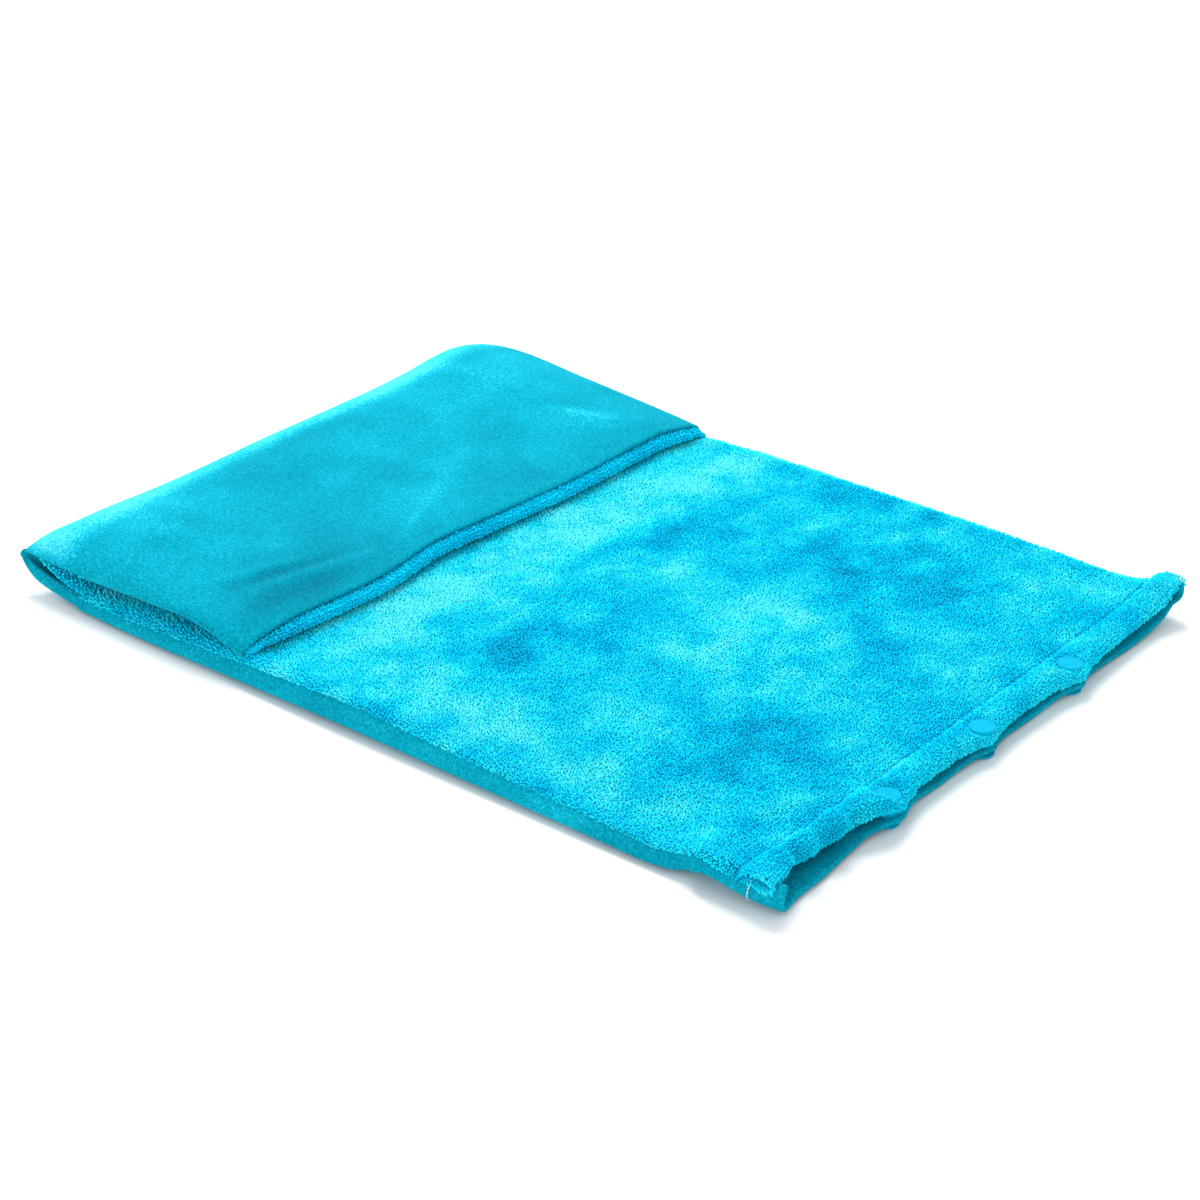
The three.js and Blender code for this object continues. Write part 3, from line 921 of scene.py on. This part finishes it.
    def mouth_grid(self, ys: Array, overhang: float = 0.0) -> Array:
        """Grid of pile tips from the lip's crease over the rolled hem to its tucked edge.

        The overhang is how far the tips hang out over the side bands at the corners.
        """
        xs = np.concatenate([np.linspace(LIP_START, 195, 36), np.linspace(196.6, 199.8, 3)])
        flat = self.front_grid(xs, ys)
        one = np.ones_like(ys)
        front = self.hem_front(ys) + 0.7 * self._quick(ys * 2.2, ys * 0)
        top = self.hem_top(ys) + 0.4 * self._quick(ys * 2.0, ys * 0 + 50)
        deep = self.hem_depth(ys)
        back = self.front(np.full_like(ys, 200.0), ys)
        valley = np.minimum(back, top) - 0.9 - 0.5 * self._quick(ys * 1.5, ys * 0 + 20)
        knots = np.stack([
            np.stack([x, z], -1) for x, z in (
                (199.8 * one, back), (201.3 * one, valley), (203.6 * one, (valley + top) / 2 + 0.5),
                ((201.4 + front) / 2 - 0.6, top), (front - 3.4, top - 0.7),
                (front, top - 0.42 * deep), (front - 1.4, top + 1.4 - deep),
                (front - 5.5, top - deep), (203.5 * one, top - 6.6),
            )
        ])
        t = np.array([0, 1.8, 4.6, 10.4, 16.5, 20.6, 23.6, 28.8, 40.0])
        rows = np.concatenate([np.linspace(0.9, 4.6, 5), np.linspace(6, 31, 20), [35, 40]])
        roll = through(t, knots, rows)
        roll = np.stack([roll[..., 0], np.broadcast_to(ys, roll.shape[:2]), roll[..., 1]], -1)
        grid = np.concatenate([flat, roll])
        hang = ease((np.abs(grid[..., 1]) - 157) / 9.0) * ease((grid[..., 0] - 172) / 22.0)
        grid[..., 1] += np.sign(grid[..., 1]) * overhang * hang
        grid[..., 2] -= 0.3 * overhang * hang
        r, z = from_snap(grid), grid[..., 2]
        sunk = CAP_TOP + (z - CAP_TOP) * ease((r - DIMPLE_START) / DIMPLE_WIDE)
        upper = (np.arange(len(grid)) < len(xs) + ROLL_TOP_ROWS)[:, None]
        on_top = (r < DIMPLE_END) & upper & (z > 10.5)
        grid[..., 2] = np.where(on_top, np.minimum(z, sunk), z)
        return grid

    @staticmethod
    def _across(reach: Array) -> Array:
        """Places across, closer together towards the edges."""
        s = np.linspace(-1, 1, 150)
        s = 0.55 * s + 0.45 * np.sin(s * math.pi / 2)
        return reach[:, None] * s[None, :]

    @staticmethod
    def _band(
        edge: Array, seam: Array, out: Array | float, side: int, steps: int = 9,
    ) -> Array:
        """Curve of a side band from the cloth's lower edge up to its seam, bulging outwards."""
        y0, y2 = edge[..., 1], seam[..., 1]
        peak = side * out
        ctrl = edge * 0.5 + seam * 0.5
        ctrl[..., 1] = 2 * peak - 0.5 * (y0 + y2)
        ctrl[..., 2] = 0.82 * edge[..., 2] + 0.18 * seam[..., 2] - 2.2
        t = np.linspace(0, 1, steps + 1)[1:].reshape(-1, 1, 1)
        return (1 - t) ** 2 * edge + 2 * t * (1 - t) * ctrl + t * t * seam

    def underside(self) -> Array:
        """Grid of the velour back's outer side, doubled inwards at the mouth."""
        share = np.concatenate([np.linspace(0, 0.84, 84), np.linspace(0.845, 1.0, 36)])
        across = self._across(np.array([UNDER_HALF]))[0]
        end_mid = self.lip_front(across) - 1.4
        sides = (
            (-1, 0, 222.2, self.front_near, self.near_bulge),
            (1, -1, 218.0, self.front_far, self.far_bulge),
        )
        dn, df = across + UNDER_HALF, UNDER_HALF - across
        rows = []
        for s in share:
            x = PANEL_START + (end_mid - PANEL_START) * s
            z = FLOOR_GAP + (self.near_low(x) - FLOOR_GAP) * quarter(dn, 16.0)
            z = z + (self.far_low(x) - FLOOR_GAP) * quarter(df, 22.0)
            lift = ease((x - 183) / 26.0)
            z = z * (1 - lift) + np.maximum(self.lip_low(across), z * 0.4) * lift
            bands = []
            for side, rim, end, height, bulge in sides:
                along = PANEL_START + (end - PANEL_START) * s
                edge = np.array([x[rim], side * UNDER_HALF, z[rim]])
                seam = np.array([along, side * SEAM_HALF, float(height(along)) - SEAM_BELOW])
                band = self._band(edge, seam, SIDE_HALF + float(bulge(along)), side)
                bands.append(band.reshape(-1, 3))
            mid = np.stack([x, across, z], -1)
            rows.append(np.concatenate([bands[0][::-1], mid, bands[1]]))
        grid = np.array(rows)
        inward = -grid_normals(grid, Faces.AGAINST)[-1]
        ahead = np.array([1.0, 0, 0])
        radius = 1.3
        turn = [
            grid[-1] + inward * radius * (1 - math.cos(a)) + ahead * radius * math.sin(a)
            for a in np.linspace(0, math.pi, 7)[1:]
        ]
        back = [grid[-1 - k] + inward * 2 * radius for k in range(2, 19, 2)]
        return np.concatenate([grid, np.array(turn), np.array(back)])

    def _sweep(
        self, rails: Sequence[Rail], marks: Array, t: Array, reach: Array,
        wide: Array,
    ) -> Array:
        """Grid across the pouch between its middle, near and far rails."""
        m, n, f = (through(marks, rail.knots, t)[:, None, :] for rail in rails)
        y = self._across(reach)
        sn, sf = (
            (0.3 * quarter(d, 10.0) + 0.7 * slump(d, wide[:, None]))[..., None]
            for d in (y + reach[:, None], reach[:, None] - y)
        )
        xz = m + (n - m) * sn + (f - m) * sf
        return np.stack([xz[..., 0], y, xz[..., 1]], -1)

    def _shift_end(self, grid: Array, t: Array, start: float, end: float) -> None:
        """Moves the flap's end to where it lies at each place across."""
        y = grid[..., 1]
        nominal = -77.0 - 4.0 * slump(y + 165.0, 38.0) + 2.0 * slump(165.0 - y, 38.0)
        grid[..., 0] += (self.flap_end(y) - nominal) * ease((t - start) / (end - start))[:, None]

    def velour(self, first: int, last: int, steps: int) -> Array:
        """Velour's outer side between two knots of its rails, with the bands down to the seams."""
        marks, t, u = self.velour_mid.rows(first, last, steps)
        reach = np.interp(u, [0, 3, 5, 10], [160.5, 164.6, 165.4, 165.6])
        wide = np.interp(u, [0, 1, 3, 6, 8, 10], [18.0, 28.0, 42.0, 52.0, 60.0, 38.0])
        rails = (self.velour_mid, self.velour_near, self.velour_far)
        grid = self._sweep(rails, marks, t, reach, wide)
        y = grid[..., 1]
        crown = np.interp(u, [2, 3, 4, 7, 9], [0, 0.6, 1, 0.6, 0])[:, None]
        grid[..., 2] *= 1 + (self.fold_height(y) - 1) * crown
        self._shift_end(grid, t, marks[7], marks[10])
        far_corner = ease((y - 120) / 45.0) * np.interp(u, [1, 3, 5, 7], [0, 1, 0.6, 0])[:, None]
        grid[..., 0] += 4.0 * far_corner
        if last > 5:
            x = grid[..., 0]
            fade = np.interp(u, [5, 6], [0, 1])[:, None]
            for crease in self.flap_creases:
                grid[..., 2] += crease.lift(x, y) * fade
            grid[..., 2] += 0.5 * self._slow(x + 300, y) * fade
        out = np.interp(u, [0, 2, 4, 10], [167.5, 167.2, 166.9, 166.6])
        sides = []
        for side, seam, edge in ((-1, self.seam_near, grid[:, 0]), (1, self.seam_far, grid[:, -1])):
            seam_y = np.full(len(t), side * (SEAM_HALF - 0.2))
            low = np.stack([edge[:, 0], seam_y, through(marks, seam.knots, t)[:, 1]], -1)
            sides.append(self._band(edge, low, out, side, 4 if last > 3 else 9).transpose(1, 0, 2))
        return np.concatenate([sides[0][:, ::-1], grid, sides[1]], axis=1)

    def inner(self, first: int, last: int, steps: int, turned_up: bool = False) -> Array:
        """Pile tips inside the fold and under the flap, between two knots of the rails.

        Where turned_up is set, columns are added that turn up to the side seams.
        """
        marks, t, u = self.inner_mid.rows(first, last, steps)
        reach = np.interp(u, [0, 1, 2, 4], [165.6, 165.2, 164.6, 164.2])
        if not turned_up:
            reach = reach - np.interp(u, [0, 2], [0.2, 1.8])
        wide = np.interp(u, [0, 1, 2, 4, 6, 10], [56.0, 46.0, 42.0, 52.0, 60.0, 38.0])
        rails = (self.inner_mid, self.inner_near, self.inner_far)
        grid = self._sweep(rails, marks, t, reach, wide)
        y = grid[..., 1]
        self._shift_end(grid, t, marks[5], marks[8])
        if first == 0:
            x0 = grid[0, :, 0]
            drift = self.front(x0, y[0]) - grid[0, :, 2]
            grid[..., 2] += drift[None, :] * (1 - ease(t / 14.0))[:, None]
        crown = np.interp(u, [1, 2, 3, 5, 7], [0, 0.6, 1, 0.6, 0])[:, None]
        grid[..., 2] *= 1 + (self.fold_height(y) - 1) * crown
        if not turned_up:
            return grid
        normals = grid_normals(grid, Faces.AGAINST)
        turned = []
        for side, rim in ((-1.0, 0), (1.0, -1)):
            edge, out = grid[:, rim], np.array([0.0, side, 0.0])
            turned.append(np.stack([edge + out * 0.4 - normals[:, rim] * d for d in (0.6, 1.2)], 1))
        return np.concatenate([turned[0][:, ::-1], grid, turned[1]], axis=1)


class Brushing:
    """How the pile lies: its lean, and the light and dark it makes."""

    patches = (
        Patch(-52, -80, 26, 90, 0.75), Patch(-48, 40, 24, 100, 0.8), Patch(-30, 135, 34, 34, 0.6),
        Patch(76, 30, 26, 22, 0.55), Patch(74, -4, 18, 16, 0.4), Patch(104, 12, 24, 18, 0.5),
        Patch(78, -34, 22, 16, 0.45), Patch(16, 38, 18, 22, 0.35), Patch(8, -120, 34, 22, 0.65),
        Patch(70, -98, 30, 16, 0.55), Patch(139, -38, 26, 16, 0.5), Patch(108, -56, 20, 14, 0.45),
        Patch(-16, -34, 20, 18, 0.35), Patch(40, -140, 40, 14, 0.5), Patch(110, -140, 40, 14, 0.45),
        Patch(182, 40, 10, 60, 0.35), Patch(150, 140, 50, 12, 0.35), Patch(215, 120, 14, 60, 0.35),
        Patch(214, -40, 12, 24, 0.3), Patch(36, 148, 22, 14, -0.7), Patch(78, 92, 30, 26, -0.55),
        Patch(120, 96, 30, 26, -0.5), Patch(44, -20, 20, 18, -0.5), Patch(138, -82, 28, 13, -0.6),
        Patch(150, -110, 20, 14, -0.55), Patch(136, 36, 20, 20, -0.45),
        Patch(30, -98, 26, 16, -0.45), Patch(-8, 60, 16, 46, -0.5), Patch(28, -58, 18, 16, -0.4),
        Patch(168, 80, 22, 30, 0.1), Patch(176, -72, 20, 12, -0.5), Patch(174, -6, 14, 18, -0.4),
        Patch(6, -76, 12, 24, -0.35), Patch(50, 50, 14, 20, -0.3),
    )

    # Painted shade by the flap's front near corner, and a lighter patch at the near end of the
    # fold.
    flap_shades = (Patch(-92, -112, 26, 44, -0.5), Patch(-196, -128, 22, 20, 0.35))

    def __init__(self) -> None:
        self.wisps = Cloud(11, 13.0, 4)
        self.drift = Cloud(12, 46.0, 2)
        self._twist = Cloud(13, 33.0, 2)

    def tone(self, grid: Array) -> Array:
        """Brushed tone over a grid, about -0.8 to 1."""
        x, y = grid[..., 0], grid[..., 1]
        wx, wy = x + 7 * self._twist(x + 90, y), y + 7 * self._twist(x, y + 90)
        total = sum(patch.tone(wx, wy) for patch in self.patches)
        return 0.85 * total + 0.85 * self.wisps(x, y * 0.8) + 0.2 * self.drift(x, y)

    def lean(self, grid: Array, along: tuple[float, float] = (0.45, -0.5)) -> Array:
        """Lean of the pile over a grid."""
        x, y = grid[..., 0], grid[..., 1]
        angle = math.atan2(along[1], along[0]) + 1.1 * self._twist(x, y)
        size = math.hypot(*along) * (1 - 0.35 * self.tone(grid))
        return np.stack([np.cos(angle) * size, np.sin(angle) * size, np.zeros_like(x)], -1)


# Pieces


@dataclass(frozen=True)
class Bend:
    """The two bodies either side of a piece's bend, and where the bend starts and ends, in
    millimetres.
    """

    first: str
    second: str
    start: tuple[float, float, float]
    end: tuple[float, float, float]

    def apply(self, obj: Object) -> None:
        """Bakes a finished piece's transform into its mesh."""
        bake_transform(obj)


VELOUR_LOWER = Bend("base", "fold", (-200, 0, 2), (-214, 0, 16))
VELOUR_UPPER = Bend("fold", "flap", (-219, 0, 21), (-205, 0, 35))
PLUSH_LOWER = Bend("base", "fold", (-200, 0, 14.5), (-206.5, 0, 21))
PLUSH_UPPER = Bend("fold", "flap", (-206.5, 0, 21), (-200, 0, 27.5))
LIP_NEAR = Bend("base", "lip", (150, -162, 15), (150, -LIP_HALF, 15))
LIP_FAR = Bend("base", "lip", (150, 162, 15), (150, LIP_HALF, 15))


class Pouch:
    """Builds every piece of the pouch."""

    def __init__(self) -> None:
        self.shape = Shape()
        self.brush = Brushing()
        self.palette = Palette()
        self.sewing = Haberdashery(self.palette)

    @staticmethod
    def _settle(
        obj: Object, where: str | Bend, slot: str, nodes: Sequence[str] = (),
    ) -> Object:
        """Attaches a piece to its body, or bakes its transform where it lies across a bend, and
        hides the solids it replaces.
        """
        if isinstance(where, Bend):
            where.apply(obj)
        else:
            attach(obj, where)
        if nodes:
            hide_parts(*nodes)
        return obj

    def _sheet(
        self, obj: Object, where: str | Bend, slot: str, nodes: Sequence[str],
    ) -> None:
        """Settles a sheet."""
        self._settle(obj, where, slot, nodes)

    def _velour(
        self, name: str, grid: Array, faces: Faces, joined: tuple[bool, bool],
    ) -> Object:
        """A sheet of velour."""
        tone = self._velour_tone(grid)
        return cloth(name, grid, faces, VELOUR_THICK, self.palette.velour, tone, joined)

    def _ground(self, name: str, tips: Array, faces: Faces) -> Object:
        """The knitted ground under a stretch of pile."""
        outer = tips - grid_normals(tips, faces) * PILE_DEPTH
        return cloth(name, outer, faces, PLUSH_THICK, self.palette.ground, self.brush.tone(tips))

    def back(self) -> None:
        """The velour back with its side bands and doubled lower lip."""
        grid = self.shape.underside()
        sheet = self._velour("velour_back", grid, Faces.AGAINST, (True, False))
        near = grid[:118, 0] + np.array([0, -0.3, -0.5])
        far = grid[:118, -1] + np.array([0, 0.3, -0.5])
        row = int(np.argmin(np.abs(grid[:120, 85, 0] - 202.0)))
        across = grid[row] + grid_normals(grid, Faces.AGAINST)[row] * 0.3
        sew = self.sewing.stitches
        sides = sew("side_stitching", near, far)
        self._settle(sides, "base", "thread", ("near_side_seam", "far_side_seam"))
        hem = sew("lower_hem_stitches", across[9:], pitch=2.9)
        self._settle(hem, "base", "thread", ("lower_hem_stitching", "far_hem_stitching"))
        tack = sew("near_hem_tack", across[1:9], pitch=2.0, pale=True)
        self._settle(tack, "base", "thread", ("near_hem_stitching",))
        self._sheet(
            sheet, "base", "velour",
            (
                "back_panel", "far_side_wrap", "near_side_wrap", "lower_hem", "far_hem_wrap",
                "near_hem_wrap",
            ),
        )

    def _velour_tone(self, grid: Array) -> Array:
        """Tone of the velour: soft brushed patches, a painted highlight where it turns over the top
        of the fold, painted light and shade along the flap's creases, and the flap's painted shade
        patches.
        """
        x, y, z = (grid[..., k] for k in range(3))
        # Painted highlight: the velour is made lighter where it turns over the top of the fold.
        turned = ease((-x - 190) / 14.0) * ease((z - 18) / 8.0)
        upper = ease((z - 12) / 6.0) * (x < -60)
        # Painted light and shade along the flap's creases: lighter on the ridges, darker in the
        # valleys.
        rise = 0.35 * sum(crease.lift(x, y) for crease in self.shape.flap_creases)
        shade = sum(patch.tone(x, y) for patch in self.brush.flap_shades)
        nap = 0.3 * self.brush.drift(x * 1.3, y) + 0.14 * self.brush.wisps(x, y)
        return nap + 0.8 * turned + (shade + rise) * upper

    def front(self) -> None:
        """The plush front panel between the fold and the lip, coarser under the flap."""
        half = 166.2
        s = np.linspace(-half, half, 127) / half
        ys = half * (0.6 * s + 0.4 * np.sin(s * math.pi / 2))
        tips = self.shape.front_grid(np.linspace(PANEL_START, LIP_START, 122), ys)
        sheet = self._ground("plush_front", tips, Faces.ALONG)
        shown, fine = (FLAP_COVERS, LIP_START), (0.92, 1.9, 0.7)
        hidden = (PANEL_START, FLAP_COVERS)
        for name, (x0, x1), (y0, y1), (spacing, length, width) in (
            ("front_pile_near", shown, (-PILE_HALF, -100.0), fine),
            ("front_pile_near_middle", shown, (-100.0, -33.0), fine),
            ("front_pile_middle", shown, (-33.0, 33.0), fine),
            ("front_pile_far_middle", shown, (33.0, 100.0), fine),
            ("front_pile_far", shown, (100.0, PILE_HALF), fine),
            ("front_pile_under_flap", hidden, (-146.0, PILE_HALF), (2.2, 2.4, 1.5)),
            ("front_pile_under_edge", hidden, (-PILE_HALF, -146.0), (1.2, 2.9, 0.72)),
        ):
            places = (np.linspace(a, b, max(8, int((b - a) / 2))) for a, b in ((x0, x1), (y0, y1)))
            patch = self.shape.front_grid(*places)
            edge = by_seam(patch[..., 1])
            lean = self.brush.lean(patch) * (1 - 0.5 * edge)[..., None]
            lean[..., 1] += np.sign(patch[..., 1]) * 0.55 * edge
            pile = self.sewing.pile(
                name, patch, Faces.ALONG, lean, self.brush.tone(patch), long=1 + 0.25 * edge,
                spacing=spacing, length=length, width=width,
            )
            self._settle(pile, "base", "plush")
        self._sheet(sheet, "base", "plush", ("front_panel",))

    def _mouth_part(
        self, name: str, ys: Array, where: str | Bend, nodes: Sequence[str],
        thread: tuple[str, Sequence[str]],
    ) -> None:
        """A stretch of the mouth's upper layer: its ground, its pile and its stitches."""
        ground = self.shape.mouth_grid(np.clip(ys, -SEAM_HALF, SEAM_HALF))
        sheet = self._ground(name, ground, Faces.ALONG)
        tips = self.shape.mouth_grid(ys, overhang=OVERHANG)
        x, y = tips[..., 0], tips[..., 1]
        roll = ease((x - 201) / 4.0)
        lean = self.brush.lean(tips) * (1 - roll)[..., None]
        lean += np.array([0.12, -0.62, -0.1]) * roll[..., None]
        lean[..., 1] += np.sign(y) * 0.5 * by_seam(y) * (1 - roll)
        row = np.arange(len(x))[:, None]
        groove = bump((x - GROOVE) / 1.3) * (row < GROOVE_ROWS)
        away = from_snap(tips)
        cover = ((away > CAP_CLEAR) | (tips[..., 2] < 11)) * (1 - 0.15 * (groove > 0.5))
        # Painted shade darkens the pile in the hem's groove; the rolled hem is made darker as well.
        tone = self.brush.tone(tips) - 0.15 * groove - 0.22 * roll
        by_cap = 1 - ease((away - 6.6) / 2.4)
        long = (1 - 0.2 * groove) * (1 - 0.4 * ease((row - BENEATH_ROW) / 3.0)) * (1 - 0.4 * by_cap)
        pile = self.sewing.pile(
            name + "_pile", tips, Faces.ALONG, lean, tone, cover=cover, long=long,
            spacing=0.96, width=0.72,
        )
        self._settle(pile, where, "plush")
        line = self.sewing.stitches(thread[0], self._groove_line(ys))
        self._settle(line, where, "thread", thread[1])
        self._sheet(sheet, where, "plush", nodes)

    def _groove_line(self, ys: Array) -> Array:
        """The sewn line in the hem's groove."""
        back = self.shape.front(np.full_like(ys, 200.0), ys)
        z = np.minimum(back, self.shape.hem_top(ys)) - 3.4
        return np.stack([np.full_like(ys, GROOVE), ys, z], -1)

    def mouth(self) -> None:
        """The lip between the corners, and the two corners beside it."""
        self._mouth_part(
            "plush_lip", np.linspace(-LIP_HALF, LIP_HALF, 96), "lip", ("lip_panel", "upper_hem"),
            ("hem_stitches", ("upper_hem_stitching",)),
        )
        for side, low, high, bend in (
            ("near", -PILE_HALF, -LIP_HALF, LIP_NEAR), ("far", LIP_HALF, PILE_HALF, LIP_FAR),
        ):
            name = "plush_corner_" + side
            self._mouth_part(
                name, np.linspace(low, high, 40), bend, (side + "_corner_panel", side + "_hem_end"),
                (name + "_stitches", ()),
            )

    def fold(self) -> None:
        """The velour and plush that bend round the fold."""
        for name, first, last, bend, nodes in (
            ("velour_fold_lower", 0, 3, VELOUR_LOWER, ("back_lower_bend",)),
            ("velour_fold_upper", 3, 6, VELOUR_UPPER, ("back_upper_bend",)),
        ):
            grid = self.shape.velour(first, last, 20)
            sheet = self._velour(name, grid, Faces.ALONG, (True, True))
            near = grid[:, 0] + np.array([0, -0.8, 0.2])
            far = grid[:, -1] + np.array([0, 0.8, 0.2])
            line = self.sewing.stitches(name + "_stitches", near, far)
            self._settle(line, bend, "thread")
            self._sheet(sheet, bend, "velour", nodes)
        for name, first, last, bend, nodes in (
            ("plush_fold_lower", 0, 2, PLUSH_LOWER, ("front_lower_bend",)),
            ("plush_fold_upper", 2, 4, PLUSH_UPPER, ("front_upper_bend",)),
        ):
            sheet = self._ground(name, self.shape.inner(first, last, 14), Faces.AGAINST)
            tips = self.shape.inner(first, last, 14, turned_up=True)
            pile = self._inner_pile(name + "_pile", tips, bend, 1.5, 2.5, 0.95)
            self._sheet(sheet, bend, "plush", nodes)

    def _inner_pile(
        self, name: str, tips: Array, where: str | Bend, spacing: float, length: float,
        width: float,
    ) -> Object:
        """Pile that faces into the fold, shorter by the sides."""
        edge = by_seam(tips[..., 1])
        lean = self.brush.lean(tips, (0.3, -0.4))
        lean[..., 1] += np.sign(tips[..., 1]) * 0.15 * edge
        pile = self.sewing.pile(
            name, tips, Faces.AGAINST, lean, self.brush.tone(tips) * 0.6, long=1 - 0.25 * edge,
            spacing=spacing, length=length, width=width,
        )
        return self._settle(pile, where, "plush")

    def flap(self) -> None:
        """The flap: velour above, plush below, and the plush roll along its front."""
        grid = self.shape.velour(6, 10, 62)
        sheet = self._velour("velour_flap", grid, Faces.ALONG, (True, False))
        near = grid[:, 0] + np.array([0, -0.6, -0.3])
        far = grid[:, -1] + np.array([0, 0.6, -0.3])
        end = grid[-1, 6:-6] + np.array([-2.2, 0, -1.7])
        seams = self.sewing.stitches("flap_stitching", near, far, end)
        self._settle(seams, "flap", "thread", ("near_flap_seam", "far_flap_seam", "flap_end_seam"))
        self._sheet(sheet, "flap", "velour", ("flap_back_panel",))
        span = (4, 12, 78)
        sheet = self._ground("plush_flap", self.shape.inner(*span), Faces.AGAINST)
        tips = self.shape.inner(*span, turned_up=True)
        knot = self.shape.inner_mid.rows(*span)[2]
        split = int(np.argmin(np.abs(knot - 8.0)))
        under, roll = tips[: split + 1], tips[split:]
        extras = [
            self._inner_pile("flap_pile_under", under, "flap", 2.2, 2.6, 1.4),
            self._inner_pile("flap_pile_edge", under[:, :10], "flap", 1.15, 2.3, 0.7),
        ]
        # The roll's pile is toned darker: painted shade under the flap's front edge.
        lean = np.broadcast_to(np.array([0.1, -0.45, -0.35]), roll.shape)
        pile = self.sewing.pile(
            "flap_roll_pile", roll, Faces.AGAINST, lean, self.brush.tone(roll) * 0.5 - 0.5,
            spacing=1.02, length=1.8, width=0.74,
        )
        extras.append(self._settle(pile, "flap", "plush"))
        nodes = ("flap_front_panel", "flap_edge_roll")
        self._sheet(sheet, "flap", "plush", nodes)

    def snaps(self, frame: dict) -> None:
        """Moulded plastic on the snaps' solids."""
        for name, node in frame["nodes"].items():
            cap = "_cap_" in name
            if cap or name.startswith(("stud_", "socket_")):
                for slot in node.material_slots:
                    slot.material = self.palette.snap if cap else self.palette.snap_inner

    def build(self, frame: dict) -> None:
        """Makes all pieces."""
        self.back()
        self.front()
        self.mouth()
        self.fold()
        self.flap()
        self.snaps(frame)
        self.sewing.clear()


# Studio


def aim(obj: Object, x: Array, y: Array, z: Array, place: Sequence) -> None:
    """Sets an object's axes and place."""
    rows = [[x[i], y[i], z[i], place[i]] for i in range(3)]
    obj.matrix_world = Matrix(rows + [[0, 0, 0, 1]])


class Studio:
    """Camera, lights and floor."""

    AZIMUTH, ELEVATION, ROLL = 0.67588, 0.48169, 0.009413
    DISTANCE, TARGET = 1388.76, np.array([-6.788, 2.089, 0.0])
    LENS = 86.13
    SURROUND = 0.82

    def camera(self) -> None:
        """A camera at the fitted viewing angle."""
        az, el = self.AZIMUTH, self.ELEVATION
        flat = math.cos(el)
        back = np.array([math.sin(az) * flat, -math.cos(az) * flat, math.sin(el)])
        right = np.cross(-back, [0, 0, 1])
        right /= np.linalg.norm(right)
        up = np.cross(right, -back)
        c, s = math.cos(self.ROLL), math.sin(self.ROLL)
        right, up = right * c + up * s, -right * s + up * c
        place = (self.TARGET + back * self.DISTANCE) * MM
        data = bpy.data.cameras.new("camera")
        data.sensor_width, data.lens = 36.0, self.LENS
        data.clip_start, data.clip_end = 0.05, 60.0
        obj = link("camera", data)
        aim(obj, right, up, back, place)
        bpy.context.scene.camera = obj

    @staticmethod
    def _softbox(name: str, place: tuple[float, float, float], size: float, power: float) -> None:
        data = bpy.data.lights.new(name, "AREA")
        data.shape, data.size, data.energy = "SQUARE", size, power
        z = np.array(place) / np.linalg.norm(place)
        x = np.cross([0, 1, 0], z)
        x /= np.linalg.norm(x)
        aim(link(name, data), x, np.cross(z, x), z, place)

    def lights(self) -> None:
        """A soft key from above and behind, two weaker softboxes and an even surround."""
        self._softbox("key", (-1.0, 0.9, 2.3), 1.3, 58.0)
        self._softbox("behind", (-2.3, 1.0, 0.9), 1.2, 16.0)
        self._softbox("front", (0.2, -2.3, 0.8), 1.2, 11.0)
        world = bpy.data.worlds.new("surround")
        world.use_nodes = True
        shade = world.node_tree.nodes["Background"]
        shade.inputs["Color"].default_value = (1.0, 1.0, 1.0, 1.0)
        shade.inputs["Strength"].default_value = self.SURROUND
        bpy.context.scene.world = world

    @staticmethod
    def floor() -> None:
        """A plain pale floor."""
        half, z = 6000, -0.2
        corners = np.array([(-half, -half, z), (half, -half, z), (half, half, z), (-half, half, z)])
        obj = new_object("floor", corners, [(0, 1, 2, 3)])
        p = Paint("floor_pale", (0.92, 0.92, 0.92), Roughness=0.9, Specular_IOR_Level=0.1)
        obj.data.materials.append(p.material)

    def build(self) -> None:
        """Sets the whole studio up."""
        bpy.context.scene.view_settings.view_transform = "Standard"
        self.camera()
        self.lights()
        self.floor()


def main() -> None:
    """Builds the scene round the frame."""
    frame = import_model()
    Studio().build()
    Pouch().build(frame)


if __name__ == "__main__":
    main()
